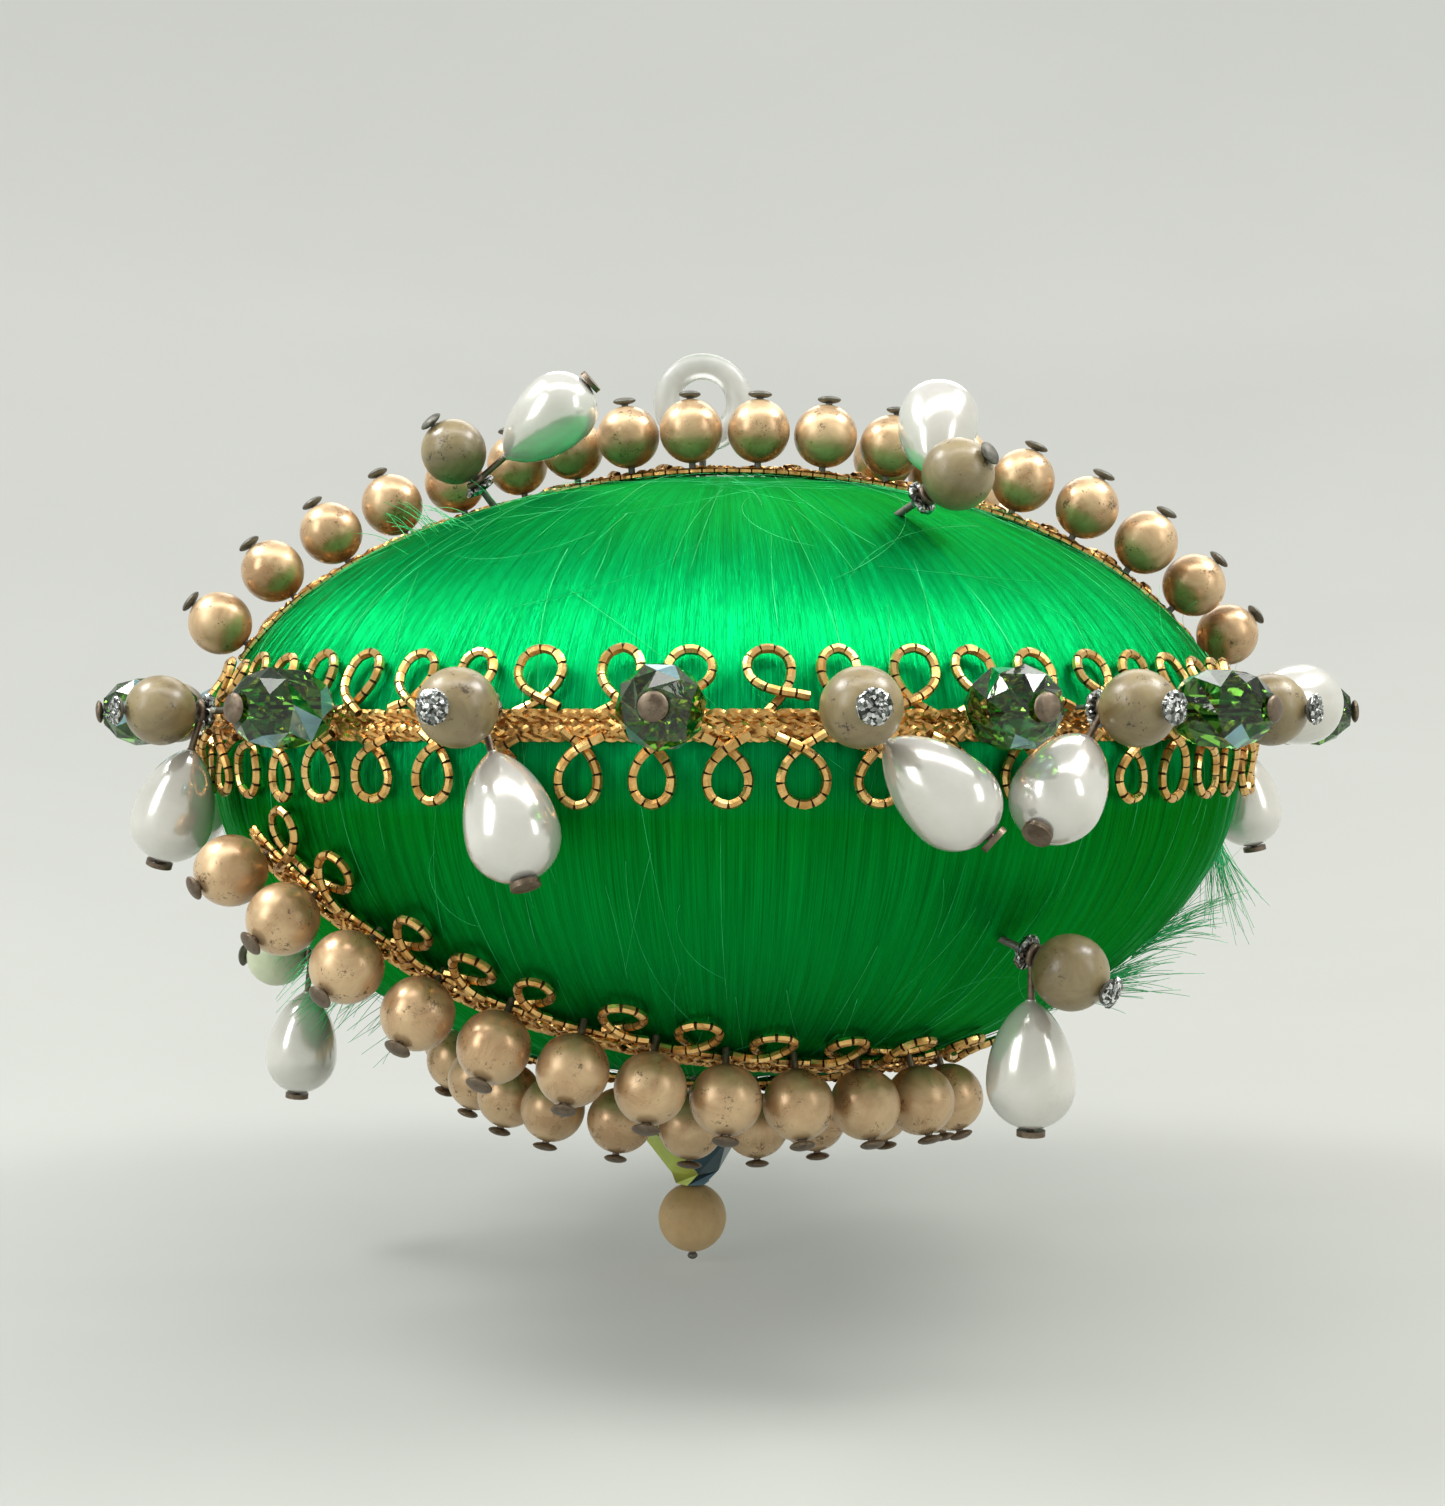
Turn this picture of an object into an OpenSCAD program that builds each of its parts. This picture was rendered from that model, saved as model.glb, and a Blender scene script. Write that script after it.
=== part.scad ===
// Pin-and-bead Christmas ornament: a thread-wrapped foam ball, slightly flattened,
// with gold braid, rows of pinned beads, hanging teardrops, a finial and a hanging ring.
// The origin is the centre of the hanging ring's hole. The front of the ball faces -Y.

/* [Ball] */
// Diameter of the wrapped ball at its widest
ball_d = 76; // [66:1:92]
// Height of the ball's upper half
top_h = 21; // [18:0.5:26]
// Height of the ball's lower half
bottom_h = 23.5; // [20:0.5:28]
// Thickness of the satin thread wrapping
wrap_t = 0.6; // [0.4:0.1:1.5]

/* [Braid] */
// Height of the band's middle above the ball's widest line
band_z = 2.5; // [1:0.5:4]
// Width of the woven braid
braid_w = 2.2; // [1.6:0.1:3]
// Thickness of the woven braid
braid_t = 0.8; // [0.5:0.1:1.2]
// Outside diameter of one picot loop
picot_d = 3.3; // [2.6:0.1:4]
// Thickness of the wrapped cord in the loops
cord_d = 0.6; // [0.4:0.05:0.8]
// Distance from one loop to the next
picot_pitch = 4.4; // [4.1:0.1:6]
// Distance from one loop to the next on the garlands
garland_picot_pitch = 4.8; // [4.6:0.1:6]
// Length of the crossed tails between braid and loop
picot_tail = 0.35; // [0.1:0.05:1]

/* [Beads] */
// Diameter of the pearls in the garlands
pearl_d = 4.7; // [4:0.1:5.6]
// Gap between neighbouring pearls at the braid
pearl_gap = 0.05; // [0:0.05:1]
// Diameter of the round frosted beads
bead_d = 4.7; // [4:0.1:5.6]
// Length of a faceted crystal along its pin
crystal_l = 6.4; // [5:0.1:7.6]
// Diameter of a faceted crystal
crystal_d = 4.9; // [4:0.1:5.8]
// Length of a teardrop pearl
drop_l = 8; // [6.5:0.1:9.6]
// Diameter of a teardrop pearl at its wide end
drop_d = 5.4; // [4.4:0.1:5.8]

/* [Pins] */
// Diameter of the bead pins
pin_d = 0.5; // [0.4:0.05:0.7]
// Length of the bead pins
pin_l = 17; // [14:1:20]
// Diameter of a pin's flat head
head_d = 1.75; // [1.4:0.05:2.2]
// Thickness of a pin's flat head
head_t = 0.35; // [0.2:0.05:0.5]
// Radial clearance of a pin in a bead or an eye
run_gap = 0.06; // [0.04:0.01:0.1]
// Diameter of the wire that holds a teardrop
wire_d = 0.45; // [0.35:0.05:0.6]
// Diameter of the glittered rings under the round beads
glitter_d = 2.3; // [1.8:0.1:2.8]
// Thickness of the glittered rings
glitter_t = 0.5; // [0.3:0.1:0.8]

/* [Hanger] */
// Outside diameter of the hanging ring
ring_d = 7.5; // [6.5:0.1:10]
// Diameter of the ring's round section
ring_wire = 2; // [1.6:0.1:2.4]
// Height of the ring's centre above the ball's widest line
ring_z = 27; // [26.5:0.5:32]
// How far the ring stands left of the ball's axis
ring_x = 1.8; // [0:0.1:3]
// Length of the staple's legs
leg_l = 13; // [10:1:16]

/* [Finial] */
// Length of the finial crystal
finial_l = 8.8; // [7:0.1:11]
// Diameter of the finial crystal
finial_d = 7.6; // [6:0.1:9]
// Diameter of the bead at the tip
tip_d = 5.2; // [4.4:0.1:6.4]
// How far the finial stands left of the ball's axis
finial_x = 2.6; // [0:0.1:4]
// Length of the finial's pin
finial_pin_l = 30; // [26:1:32]

/* [Hidden] */
$fn = 32;

ball_r = ball_d / 2;
// Everything sewn or pinned to the thread stands this far off it
surface_gap = 0.1;
// Two pieces threaded on one pin stand this far apart
stack_gap = 0.05;
// Beads on the band sit a little above its middle
band_pin_z = band_z + 1;
// A round-wire loop lies flat on the curved thread, so it is lifted by this much
loop_gap = 0.15;
picot_lift = cord_d / 2 + loop_gap;
picot_reach = braid_w / 2 + picot_tail + picot_d / 2;
picot_count = floor(PI * ball_d / picot_pitch);
// Above the band the ball narrows, so the loops there reach up a little less
upper_share = 0.95;
// On a bend's inner side loops crowd, so large ones are set further apart
loop_spread = 1.32;
garland_pitch = max(garland_picot_pitch, picot_d * loop_spread);
// Loops are left out this close to where a garland's braid meets the band
junction_clear = (braid_w + picot_d) / 2 + surface_gap;

staple_wire = 0.5;
staple_gap = 0.12;
staple_r = ring_wire / 2 + staple_gap + staple_wire / 2;
// Loops are left out this close to the staple's legs
staple_clear = (picot_d + staple_wire) / 2 + surface_gap;

// Order of the pieces on a pin, as heights above the thread
bead_seat = braid_t + 2 * surface_gap;
pearl_u = bead_seat + pearl_d / 2;
crystal_u = bead_seat + crystal_l / 2;
ring_u = bead_seat + glitter_t / 2;
eye_u = bead_seat + glitter_t + stack_gap + wire_d / 2;
bead_u = eye_u + wire_d / 2 + stack_gap + bead_d / 2;
cap_t = 0.3;
cap_base_d = head_d + 0.2;
cap_top_d = head_d - 0.4;

eye_r = pin_d / 2 + run_gap + wire_d / 2;
// The teardrop starts below its round bead
drop_gap = 0.35;
drop_tip = bead_d / 2 + drop_gap - eye_r;
drop_tip_d = 2;
bore_r = pin_d / 2 + run_gap;

// Shape of the cut crystals, as shares of their diameter and length
crystal_end = 0.3;
crystal_belt = 0.2;
finial_neck = 0.16;
finial_foot = 0.14;
finial_belt = [0.5, 0.56];

// Directions around the band, in degrees from the front, crystals and beads in turn
front_stations = [-78, -62, -39, -21, -5, 10, 22.5, 34.5, 46, 55, 77, 97];
back_count = 12;
back_step = (360 + front_stations[0] - front_stations[11]) / (back_count + 1);
stations = concat(front_stations, [for (i = [1:back_count]) front_stations[11] + i * back_step]);
crystal_az = [for (i = [0:2:len(stations) - 1]) stations[i]];
bead_az = [for (i = [1:2:len(stations) - 1]) stations[i]];
// How far each band teardrop is swung from hanging straight down
band_swing = [-15, 22, 46, -48, 93, 0, 6, -8, 4, 10, -5, 0];
band_lean = [12, 12, 14, 14, 16, 12, 12, 12, 12, 12, 12, 12];

// Beads away from the band: direction and latitude on the ball, then their pin's direction
// and slope, then the teardrop's swing and lean, then how far the beads stand off on the pin,
// then whether the pin's head is glittered
shoulder = [
    [-66, 61, -60, 50, 150, 6, 0.4, false],
    [28, 51, 48, 25, 142, 0, 0.8, false],
    [30, -27, 53, -20, 0, 20, 0.5, true],
    [-95, -41, -95, 0, 0, 6, 2, false]];

// Garland routes on the ball, as direction and latitude
top_front_route = [[-84, 14], [-84.5, 24], [-86, 36], [-91, 51], [-95, 65], [-77, 76], [-42, 81],
    [42, 81], [74, 71], [79, 57], [82, 42], [88, 27], [94, 14]];
top_back_route = [[104, 76], [106, 70], [109, 63], [119, 53], [131, 40], [141, 24], [147, 14]];
bottom_route = [[-57, -8], [-52, -14], [-42, -24], [-32, -36], [-23, -41.5], [-16, -45], [-7, -49],
    [3, -52], [14, -54], [27, -55.5], [39, -57], [51, -60], [62, -67], [53, -75], [18, -76],
    [-11, -73], [-33, -70], [-50, -66], [-77, -63], [-101, -57], [-125, -50], [-145, -39],
    [-158, -21], [-163, -8]];

// Functions for places on the ball
function half_h(z) = z >= 0 ? top_h : bottom_h;
function ball_pt(az, lat) = [ball_r * cos(lat) * sin(az), -ball_r * cos(lat) * cos(az),
    half_h(lat) * sin(lat)];
function onto_ball(p) = p / sqrt((p.x * p.x + p.y * p.y) / pow(ball_r, 2) + pow(p.z / half_h(p.z), 2));
function unit(v) = v / norm(v);
function normal(p) = unit([p.x / pow(ball_r, 2), p.y / pow(ball_r, 2), p.z / pow(half_h(p.z), 2)]);
function az_of(n) = atan2(n.x, -n.y);
function el_of(n) = asin(n.z);
function lat_at(z) = asin(z / half_h(z));
function band_r(z) = ball_r * cos(lat_at(z));

// A smooth curve through route points, laid onto the ball
function blend(a, b, c, d, t) = 0.5 * (2 * b + (c - a) * t + (2 * a - 5 * b + 4 * c - d) * t * t
    + (3 * b - a - 3 * c + d) * t * t * t);
function smooth(pts, steps) = let (last = len(pts) - 1) concat(
    [for (i = [0:last - 1], k = [0:steps - 1])
        onto_ball(blend(pts[max(i - 1, 0)], pts[i], pts[i + 1], pts[min(i + 2, last)], k / steps))],
    [pts[last]]);
function lengths(pts) = [for (i = 0, s = 0; i < len(pts);
    s = s + (i + 1 < len(pts) ? norm(pts[i + 1] - pts[i]) : 0), i = i + 1) s];
function route_pts(route) = smooth([for (r = route) ball_pt(r[0], r[1])], 8);
// Places along a curve: each is [point, outward direction, along direction]
function place(pts, cum, s) = let (
    f = lookup(s, [for (i = [0:len(pts) - 1]) [cum[i], i]]),
    i = min(floor(f), len(pts) - 2),
    p = onto_ball(pts[i] + (pts[i + 1] - pts[i]) * (f - i)))
    [p, normal(p), unit(pts[i + 1] - pts[i])];
function places(route, pitch, margin) = let (
    pts = route_pts(route), cum = lengths(pts), total = cum[len(cum) - 1],
    count = floor((total - 2 * margin) / pitch), first = (total - count * pitch) / 2)
    [for (i = [0:count]) place(pts, cum, first + i * pitch)];

top_routes = [top_front_route, top_back_route];
bottom_routes = [bottom_route];
pearl_pitch = pearl_d + pearl_gap;
pearl_margin = pearl_d / 2;
picot_margin = picot_d * 1.3;
ring_step = 1.4;
junctions = [top_front_route[0][0], top_front_route[len(top_front_route) - 1][0],
    top_back_route[len(top_back_route) - 1][0]];

// Coloured threads, metals, glass
satin_green = [0.0, 0.62, 0.28];
gold = [0.78, 0.56, 0.2];
champagne = [0.78, 0.66, 0.46];
gunmetal = [0.3, 0.28, 0.26];
olive = [0.5, 0.46, 0.32];
pearl_white = [0.93, 0.92, 0.88];
crystal_green = [0.25, 0.4, 0.12, 0.8];
silver = [0.7, 0.7, 0.7];

// The ball hangs below the ring
module at_ball() translate([ring_x, 0, -ring_z]) children();
// Local Z points outward, local X points down
module aim(p, az, el) translate(p) rotate([0, 90 - el, az - 90]) children();
module on_ball(pl) aim(pl[0], az_of(pl[1]), el_of(pl[1])) children();
module band_station(az) aim([ball_r * sin(az), -ball_r * cos(az), band_pin_z], az, 0) children();
module shoulder_place(s) aim(ball_pt(s[0], s[1]), s[2], s[3]) translate([0, 0, s[6]]) children();

module oval(r, top, bottom) polygon([for (t = [-90:2.5:90]) [r * cos(t), (t >= 0 ? top : bottom) * sin(t)]]);
module pin(head_u, len = pin_l) {
    translate([0, 0, head_u + head_t - len]) cylinder(d = pin_d, h = len - head_t / 2);
    translate([0, 0, head_u]) cylinder(d = head_d, h = head_t);
}
module bored_ball(d) difference() {
    sphere(d = d, $fn = 40);
    cylinder(r = bore_r, h = 2 * d, center = true);
}
module crystal(d, l) difference() {
    rotate_extrude($fn = 8) polygon([[0, -l / 2], [crystal_end * d, -l / 2], [d / 2, -crystal_belt * l],
        [d / 2, crystal_belt * l], [crystal_end * d, l / 2], [0, l / 2]]);
    cylinder(r = bore_r, h = 2 * l, center = true);
}
module loop() rotate_extrude() translate([(picot_d - cord_d) / 2, 0]) circle(d = cord_d, $fn = 20);
module collar(d, t) translate([0, 0, -t / 2]) difference() {
    cylinder(d = d, h = t);
    translate([0, 0, -t]) cylinder(r = bore_r, h = 3 * t);
}

// A flat braid along a route, as one swept strip with a rectangular section
function braid_ring(pl) =
    let (side = cross(pl[1], pl[2]), w = braid_w / 2, lo = surface_gap, hi = lo + braid_t)
    [pl[0] - side * w + pl[1] * lo, pl[0] + side * w + pl[1] * lo,
     pl[0] + side * w + pl[1] * hi, pl[0] - side * w + pl[1] * hi];
module braid(route) {
    rings = [for (pl = places(route, ring_step, 0)) braid_ring(pl)];
    n = len(rings);
    polyhedron([for (r = rings, p = r) p], concat(
        [[3, 2, 1, 0]],
        [for (i = [0:n - 2], k = [0:3]) let (a = 4 * i + k, b = 4 * i + (k + 1) % 4) [a, b, b + 4]],
        [for (i = [0:n - 2], k = [0:3]) let (a = 4 * i + k, b = 4 * i + (k + 1) % 4) [a, b + 4, a + 4]],
        [[for (k = [0:3]) 4 * n - 4 + k]]), convexity = 6);
}
// True where a loop would lie under the staple
function at_staple(p) = p.z > 0 && abs(p.x + ring_x) < staple_clear && abs(p.y) < staple_r + staple_clear;
// True where a garland's braid comes down onto the band
function at_junction(az) = len([for (j = junctions)
    if (abs((az - j + 540) % 360 - 180) * PI / 180 * ball_r < junction_clear) j]) > 0;
// Middles of the band's loops, below and above it
band_loops = [for (side = [-1, 1], i = [0:picot_count - 1])
    let (az = (i + (side > 0 ? 0.5 : 0)) * 360 / picot_count - 180)
    if (side < 0 || !at_junction(az))
        ball_pt(az, lat_at(band_z + side * picot_reach * (side > 0 ? upper_share : 1)))];
function at_band_loop(p) = min([for (q = band_loops) norm(p - q)]) < picot_d + loop_gap;
// Middles of the garlands' braids, and whether a loop would lie on one
braid_middles = [for (r = concat(top_routes, bottom_routes), pl = places(r, ring_step, 0)) pl[0]];
function at_braid(p) = min([for (q = braid_middles) norm(p - q)]) < (picot_d + braid_w) / 2 + surface_gap;
// Places in order, without those that would crowd the one before on a bend
function spread(pts, i = 0, kept = []) = i >= len(pts) ? kept
    : spread(pts, i + 1, len(kept) > 0 && norm(pts[i] - kept[len(kept) - 1]) < picot_d + loop_gap
        ? kept : concat(kept, [pts[i]]));
// Middles of the picot loops on the left of a route's braid, seen the way it runs
function route_loops(route) = spread([for (pl = places(route, garland_pitch, picot_margin))
    let (p = onto_ball(pl[0] + cross(pl[1], pl[2]) * picot_reach))
    if (!at_staple(p) && !at_band_loop(p) && !at_braid(p)) p]);
module route_picots(route) for (p = route_loops(route))
    on_ball([p + normal(p) * picot_lift, normal(p)]) loop();
module route_pearls(routes) for (r = routes, pl = places(r, pearl_pitch, pearl_margin))
    on_ball([pl[0] + pl[1] * pearl_u, pl[1]]) bored_ball(pearl_d);
module route_pins(routes) for (r = routes, pl = places(r, pearl_pitch, pearl_margin))
    on_ball(pl) pin(pearl_u + pearl_d / 2 + stack_gap);

// A teardrop along local Z, its tip at the origin: two arcs joined by their common tangent
module teardrop() difference() {
    big = drop_d / 2;
    small = drop_tip_d / 2;
    touch = acos(-(big - small) / (drop_l - big - small));
    rotate_extrude($fn = 40) polygon(concat(
        [for (a = [0:touch / 14:touch]) [big * sin(a), drop_l - big + big * cos(a)]],
        [for (k = [0:6]) let (a = touch + (180 - touch) * k / 6) [small * sin(a), small + small * cos(a)]]));
    translate([0, 0, -1]) cylinder(r = wire_d / 2 + run_gap, h = drop_l + 2);
}
// Frames of a teardrop: at its eye around the pin, and along its wire
module drop_eye(k) {
    if (k < len(bead_az)) band_station(bead_az[k]) translate([0, 0, eye_u])
        rotate([0, 0, band_swing[k]]) children();
    else shoulder_place(shoulder[k - len(bead_az)]) translate([0, 0, eye_u])
        rotate([0, 0, shoulder[k - len(bead_az)][4]]) children();
}
function drop_lean(k) = k < len(bead_az) ? band_lean[k] : shoulder[k - len(bead_az)][5];
module drop_line(k) drop_eye(k) translate([eye_r, 0, 0]) rotate([0, 90 - drop_lean(k), 0]) children();

module foam_core() color("white") at_ball()
    rotate_extrude($fn = 96) oval(ball_r - wrap_t, top_h - wrap_t, bottom_h - wrap_t);
module satin_wrap() color(satin_green) at_ball() rotate_extrude($fn = 96) difference() {
    oval(ball_r, top_h, bottom_h);
    oval(ball_r - wrap_t, top_h - wrap_t, bottom_h - wrap_t);
}
module band_braid() color(gold) at_ball() {
    lo = band_z - braid_w / 2;
    hi = band_z + braid_w / 2;
    rotate_extrude($fn = 96) polygon([[band_r(lo) + surface_gap, lo],
        [band_r(lo) + surface_gap + braid_t, lo],
        [band_r(hi) + surface_gap + braid_t, hi], [band_r(hi) + surface_gap, hi]]);
}
module band_picots() color(gold) at_ball() for (p = band_loops)
    on_ball([p + normal(p) * picot_lift, normal(p)]) loop();
module top_garland_braid() color(gold) at_ball() for (r = top_routes) braid(r);
module top_garland_picots() color(gold) at_ball() for (r = top_routes) route_picots(r);
module top_garland_pearls() color(champagne) at_ball() route_pearls(top_routes);
module top_garland_pins() color(gunmetal) at_ball() route_pins(top_routes);
module bottom_garland_braid() color(gold) at_ball() for (r = bottom_routes) braid(r);
module bottom_garland_picots() color(gold) at_ball() for (r = bottom_routes) route_picots(r);
module bottom_garland_pearls() color(champagne) at_ball() route_pearls(bottom_routes);
module bottom_garland_pins() color(gunmetal) at_ball() route_pins(bottom_routes);

module band_crystals() color(crystal_green) at_ball() for (az = crystal_az)
    band_station(az) translate([0, 0, crystal_u]) crystal(crystal_d, crystal_l);
module band_crystal_pins() color(gunmetal) at_ball() for (az = crystal_az)
    band_station(az) pin(crystal_u + crystal_l / 2 + stack_gap);
module band_beads() color(olive) at_ball() for (az = bead_az)
    band_station(az) translate([0, 0, bead_u]) bored_ball(bead_d);
module band_bead_pins() color(gunmetal) at_ball() for (az = bead_az)
    band_station(az) pin(bead_u + bead_d / 2 + stack_gap);
module shoulder_beads() color(olive) at_ball() for (s = shoulder)
    shoulder_place(s) translate([0, 0, bead_u]) bored_ball(bead_d);
module shoulder_pins() color(gunmetal) at_ball() for (s = shoulder)
    shoulder_place(s) pin(bead_u + bead_d / 2 + stack_gap);
module glitter_rings() color(silver) at_ball() {
    for (az = bead_az) band_station(az) translate([0, 0, ring_u]) collar(glitter_d, glitter_t);
    for (s = shoulder) shoulder_place(s) translate([0, 0, ring_u]) collar(glitter_d, glitter_t);
}
module glitter_cap() translate([0, 0, bead_u + bead_d / 2 + head_t + 2 * stack_gap])
    cylinder(d1 = cap_base_d, d2 = cap_top_d, h = cap_t);
module glitter_caps() color(silver) at_ball() {
    for (az = bead_az) band_station(az) glitter_cap();
    for (s = shoulder) if (s[7]) shoulder_place(s) glitter_cap();
}

module drop_pearl(k) color(pearl_white) at_ball() drop_line(k) translate([0, 0, drop_tip]) teardrop();
module drop_wire(k) color(gunmetal) at_ball() {
    drop_eye(k) rotate_extrude() translate([eye_r, 0]) circle(d = wire_d, $fn = 20);
    drop_line(k) cylinder(d = wire_d, h = drop_tip + drop_l + stack_gap + head_t / 2);
    drop_line(k) translate([0, 0, drop_tip + drop_l + stack_gap]) cylinder(d = head_d, h = head_t);
}

module hanging_ring() color([0.93, 0.93, 0.9, 0.8]) rotate([90, 0, 0])
    rotate_extrude($fn = 48) translate([(ring_d - ring_wire) / 2, 0]) circle(d = ring_wire);
// Round-topped staple that bridges the ring's lowest stretch
module ring_staple() color(gunmetal) translate([0, 0, -(ring_d - ring_wire) / 2]) {
    rotate([90, 0, 90]) rotate_extrude(angle = 180) translate([staple_r, 0])
        circle(d = staple_wire, $fn = 20);
    for (side = [-1, 1]) translate([0, side * staple_r, -leg_l]) cylinder(d = staple_wire, h = leg_l);
}

finial_top = -bottom_h - surface_gap;
module at_finial(z) at_ball() translate([-finial_x, 0, z]) children();
module finial_crystal() color([0.1, 0.3, 0.25, 0.8]) at_finial(finial_top) difference() {
    rotate_extrude($fn = 8) polygon([[0, 0], [finial_neck * finial_d, 0],
        [finial_d / 2, -finial_belt[0] * finial_l], [finial_d / 2, -finial_belt[1] * finial_l],
        [finial_foot * finial_d, -finial_l], [0, -finial_l]]);
    translate([0, 0, -finial_l - 1]) cylinder(r = bore_r, h = finial_l + 2);
}
module finial_bead() color(champagne) at_finial(finial_top - finial_l - stack_gap - tip_d / 2)
    bored_ball(tip_d);
module finial_pin() color(gunmetal) at_finial(finial_top - finial_l - 2 * stack_gap - tip_d)
    mirror([0, 0, 1]) pin(0, finial_pin_l);

foam_core();
satin_wrap();
band_braid();
band_picots();
top_garland_braid();
top_garland_picots();
top_garland_pearls();
top_garland_pins();
bottom_garland_braid();
bottom_garland_picots();
bottom_garland_pearls();
bottom_garland_pins();
band_crystals();
band_crystal_pins();
band_beads();
band_bead_pins();
shoulder_beads();
shoulder_pins();
glitter_rings();
glitter_caps();
hanging_ring();
ring_staple();
finial_crystal();
finial_bead();
finial_pin();
drop_pearl(0);  // drop_pearl_01
drop_pearl(1);  // drop_pearl_02
drop_pearl(2);  // drop_pearl_03
drop_pearl(3);  // drop_pearl_04
drop_pearl(4);  // drop_pearl_05
drop_pearl(5);  // drop_pearl_06
drop_pearl(6);  // drop_pearl_07
drop_pearl(7);  // drop_pearl_08
drop_pearl(8);  // drop_pearl_09
drop_pearl(9);  // drop_pearl_10
drop_pearl(10);  // drop_pearl_11
drop_pearl(11);  // drop_pearl_12
drop_pearl(12);  // drop_pearl_13
drop_pearl(13);  // drop_pearl_14
drop_pearl(14);  // drop_pearl_15
drop_pearl(15);  // drop_pearl_16
drop_wire(0);  // drop_wire_01
drop_wire(1);  // drop_wire_02
drop_wire(2);  // drop_wire_03
drop_wire(3);  // drop_wire_04
drop_wire(4);  // drop_wire_05
drop_wire(5);  // drop_wire_06
drop_wire(6);  // drop_wire_07
drop_wire(7);  // drop_wire_08
drop_wire(8);  // drop_wire_09
drop_wire(9);  // drop_wire_10
drop_wire(10);  // drop_wire_11
drop_wire(11);  // drop_wire_12
drop_wire(12);  // drop_wire_13
drop_wire(13);  // drop_wire_14
drop_wire(14);  // drop_wire_15
drop_wire(15);  // drop_wire_16
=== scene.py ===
# %% [markdown]
# # A pin-and-bead Christmas ornament
# The real thing is a foam ball wrapped in shiny thread. Gold braid with little loops goes round it, and
# every pearl, bead and crystal is held by a pin with a flat head. The CAD frame already says where each
# piece sits, so this script reads those places and builds the finer shapes and finishes around them.

# %% Load the frame
import math

import bpy
import numpy as np
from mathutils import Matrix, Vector


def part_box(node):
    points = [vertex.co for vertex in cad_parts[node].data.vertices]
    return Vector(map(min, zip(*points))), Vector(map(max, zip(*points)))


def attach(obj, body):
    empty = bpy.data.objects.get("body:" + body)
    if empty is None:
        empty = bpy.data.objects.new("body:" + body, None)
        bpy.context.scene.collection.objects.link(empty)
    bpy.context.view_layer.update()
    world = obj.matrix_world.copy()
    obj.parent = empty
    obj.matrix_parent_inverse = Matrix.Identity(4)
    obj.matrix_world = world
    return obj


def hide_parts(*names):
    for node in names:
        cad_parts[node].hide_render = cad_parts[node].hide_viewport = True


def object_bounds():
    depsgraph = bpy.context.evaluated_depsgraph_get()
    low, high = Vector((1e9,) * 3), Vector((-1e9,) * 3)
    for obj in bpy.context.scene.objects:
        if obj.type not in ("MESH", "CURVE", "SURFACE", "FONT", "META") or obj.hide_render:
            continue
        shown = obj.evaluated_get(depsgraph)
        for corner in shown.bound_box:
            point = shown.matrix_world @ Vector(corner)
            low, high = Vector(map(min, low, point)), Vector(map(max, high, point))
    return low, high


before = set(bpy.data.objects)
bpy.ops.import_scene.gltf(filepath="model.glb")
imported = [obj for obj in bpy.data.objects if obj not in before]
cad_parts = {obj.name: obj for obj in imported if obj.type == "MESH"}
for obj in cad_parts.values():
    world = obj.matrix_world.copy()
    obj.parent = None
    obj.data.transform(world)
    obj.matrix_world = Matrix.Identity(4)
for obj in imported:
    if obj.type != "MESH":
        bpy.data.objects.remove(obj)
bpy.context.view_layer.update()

MM = 0.001
TURN = 6.28        # a full turn, for a random spin
DROP_COUNT = 16

# %% [markdown]
# ## Reading places from the frame
# A node's place is in its mesh. A row of pearls is one node with many loose parts, so the parts are told
# apart by following the edges from point to point. The middle of a part gives its place, and a pin's long
# direction gives the way that everything threaded on it faces.

# %% Loose parts of a node
def node_points(node):
    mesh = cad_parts[node].data
    flat = np.empty(len(mesh.vertices) * 3)
    mesh.vertices.foreach_get("co", flat)
    return flat.reshape(-1, 3)


def loose_parts(node):
    """The points of each separate solid in a node, in the order they were made."""
    points = node_points(node)
    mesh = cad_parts[node].data
    edges = np.empty(len(mesh.edges) * 2, int)
    mesh.edges.foreach_get("vertices", edges)
    _, same = np.unique(np.round(points / (MM * 0.002)).astype(int), axis=0, return_inverse=True)
    same = same.ravel()
    edges = same[edges].reshape(-1, 2)
    first = np.full(same.max() + 1, len(points))
    np.minimum.at(first, same, np.arange(len(points)))
    label = first.copy()
    while True:
        before = label.copy()
        low = np.minimum(label[edges[:, 0]], label[edges[:, 1]])
        np.minimum.at(label, edges[:, 0], low)
        np.minimum.at(label, edges[:, 1], low)
        label = np.minimum(label, label[same[label]])
        if (label == before).all():
            break
    of_point = label[same]
    return [points[of_point == k] for k in np.unique(of_point)]


def box_middle(part):
    return (part.min(0) + part.max(0)) / 2


def unit(v):
    return v / np.linalg.norm(v, axis=-1, keepdims=True)


def along_and_off(offsets, along):
    """How far each offset reaches along a direction, and how far it is off that line."""
    reach = offsets @ along
    return reach, np.linalg.norm(offsets - reach[:, None] * along, axis=1)


print("band loops:", len(loose_parts("band_picots")))

# %% [markdown]
# ## The ball
# The ball is a little flattened, and its lower half is deeper than its upper half. Its widest line, its
# radius and its two heights are measured once here, and everything sewn onto the thread uses them.

# %% Measure the ball
wrap = node_points("satin_wrap")
wrap_low, wrap_high = wrap.min(0), wrap.max(0)
widest = wrap[np.argmax(wrap[:, 0])]
centre = np.array([(wrap_low[0] + wrap_high[0]) / 2, (wrap_low[1] + wrap_high[1]) / 2, widest[2]])
ball_r = (wrap_high[0] - wrap_low[0]) / 2
top_h, bottom_h = wrap_high[2] - centre[2], centre[2] - wrap_low[2]


def half_height(z):
    return np.where(z >= 0, top_h, bottom_h)


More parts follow.
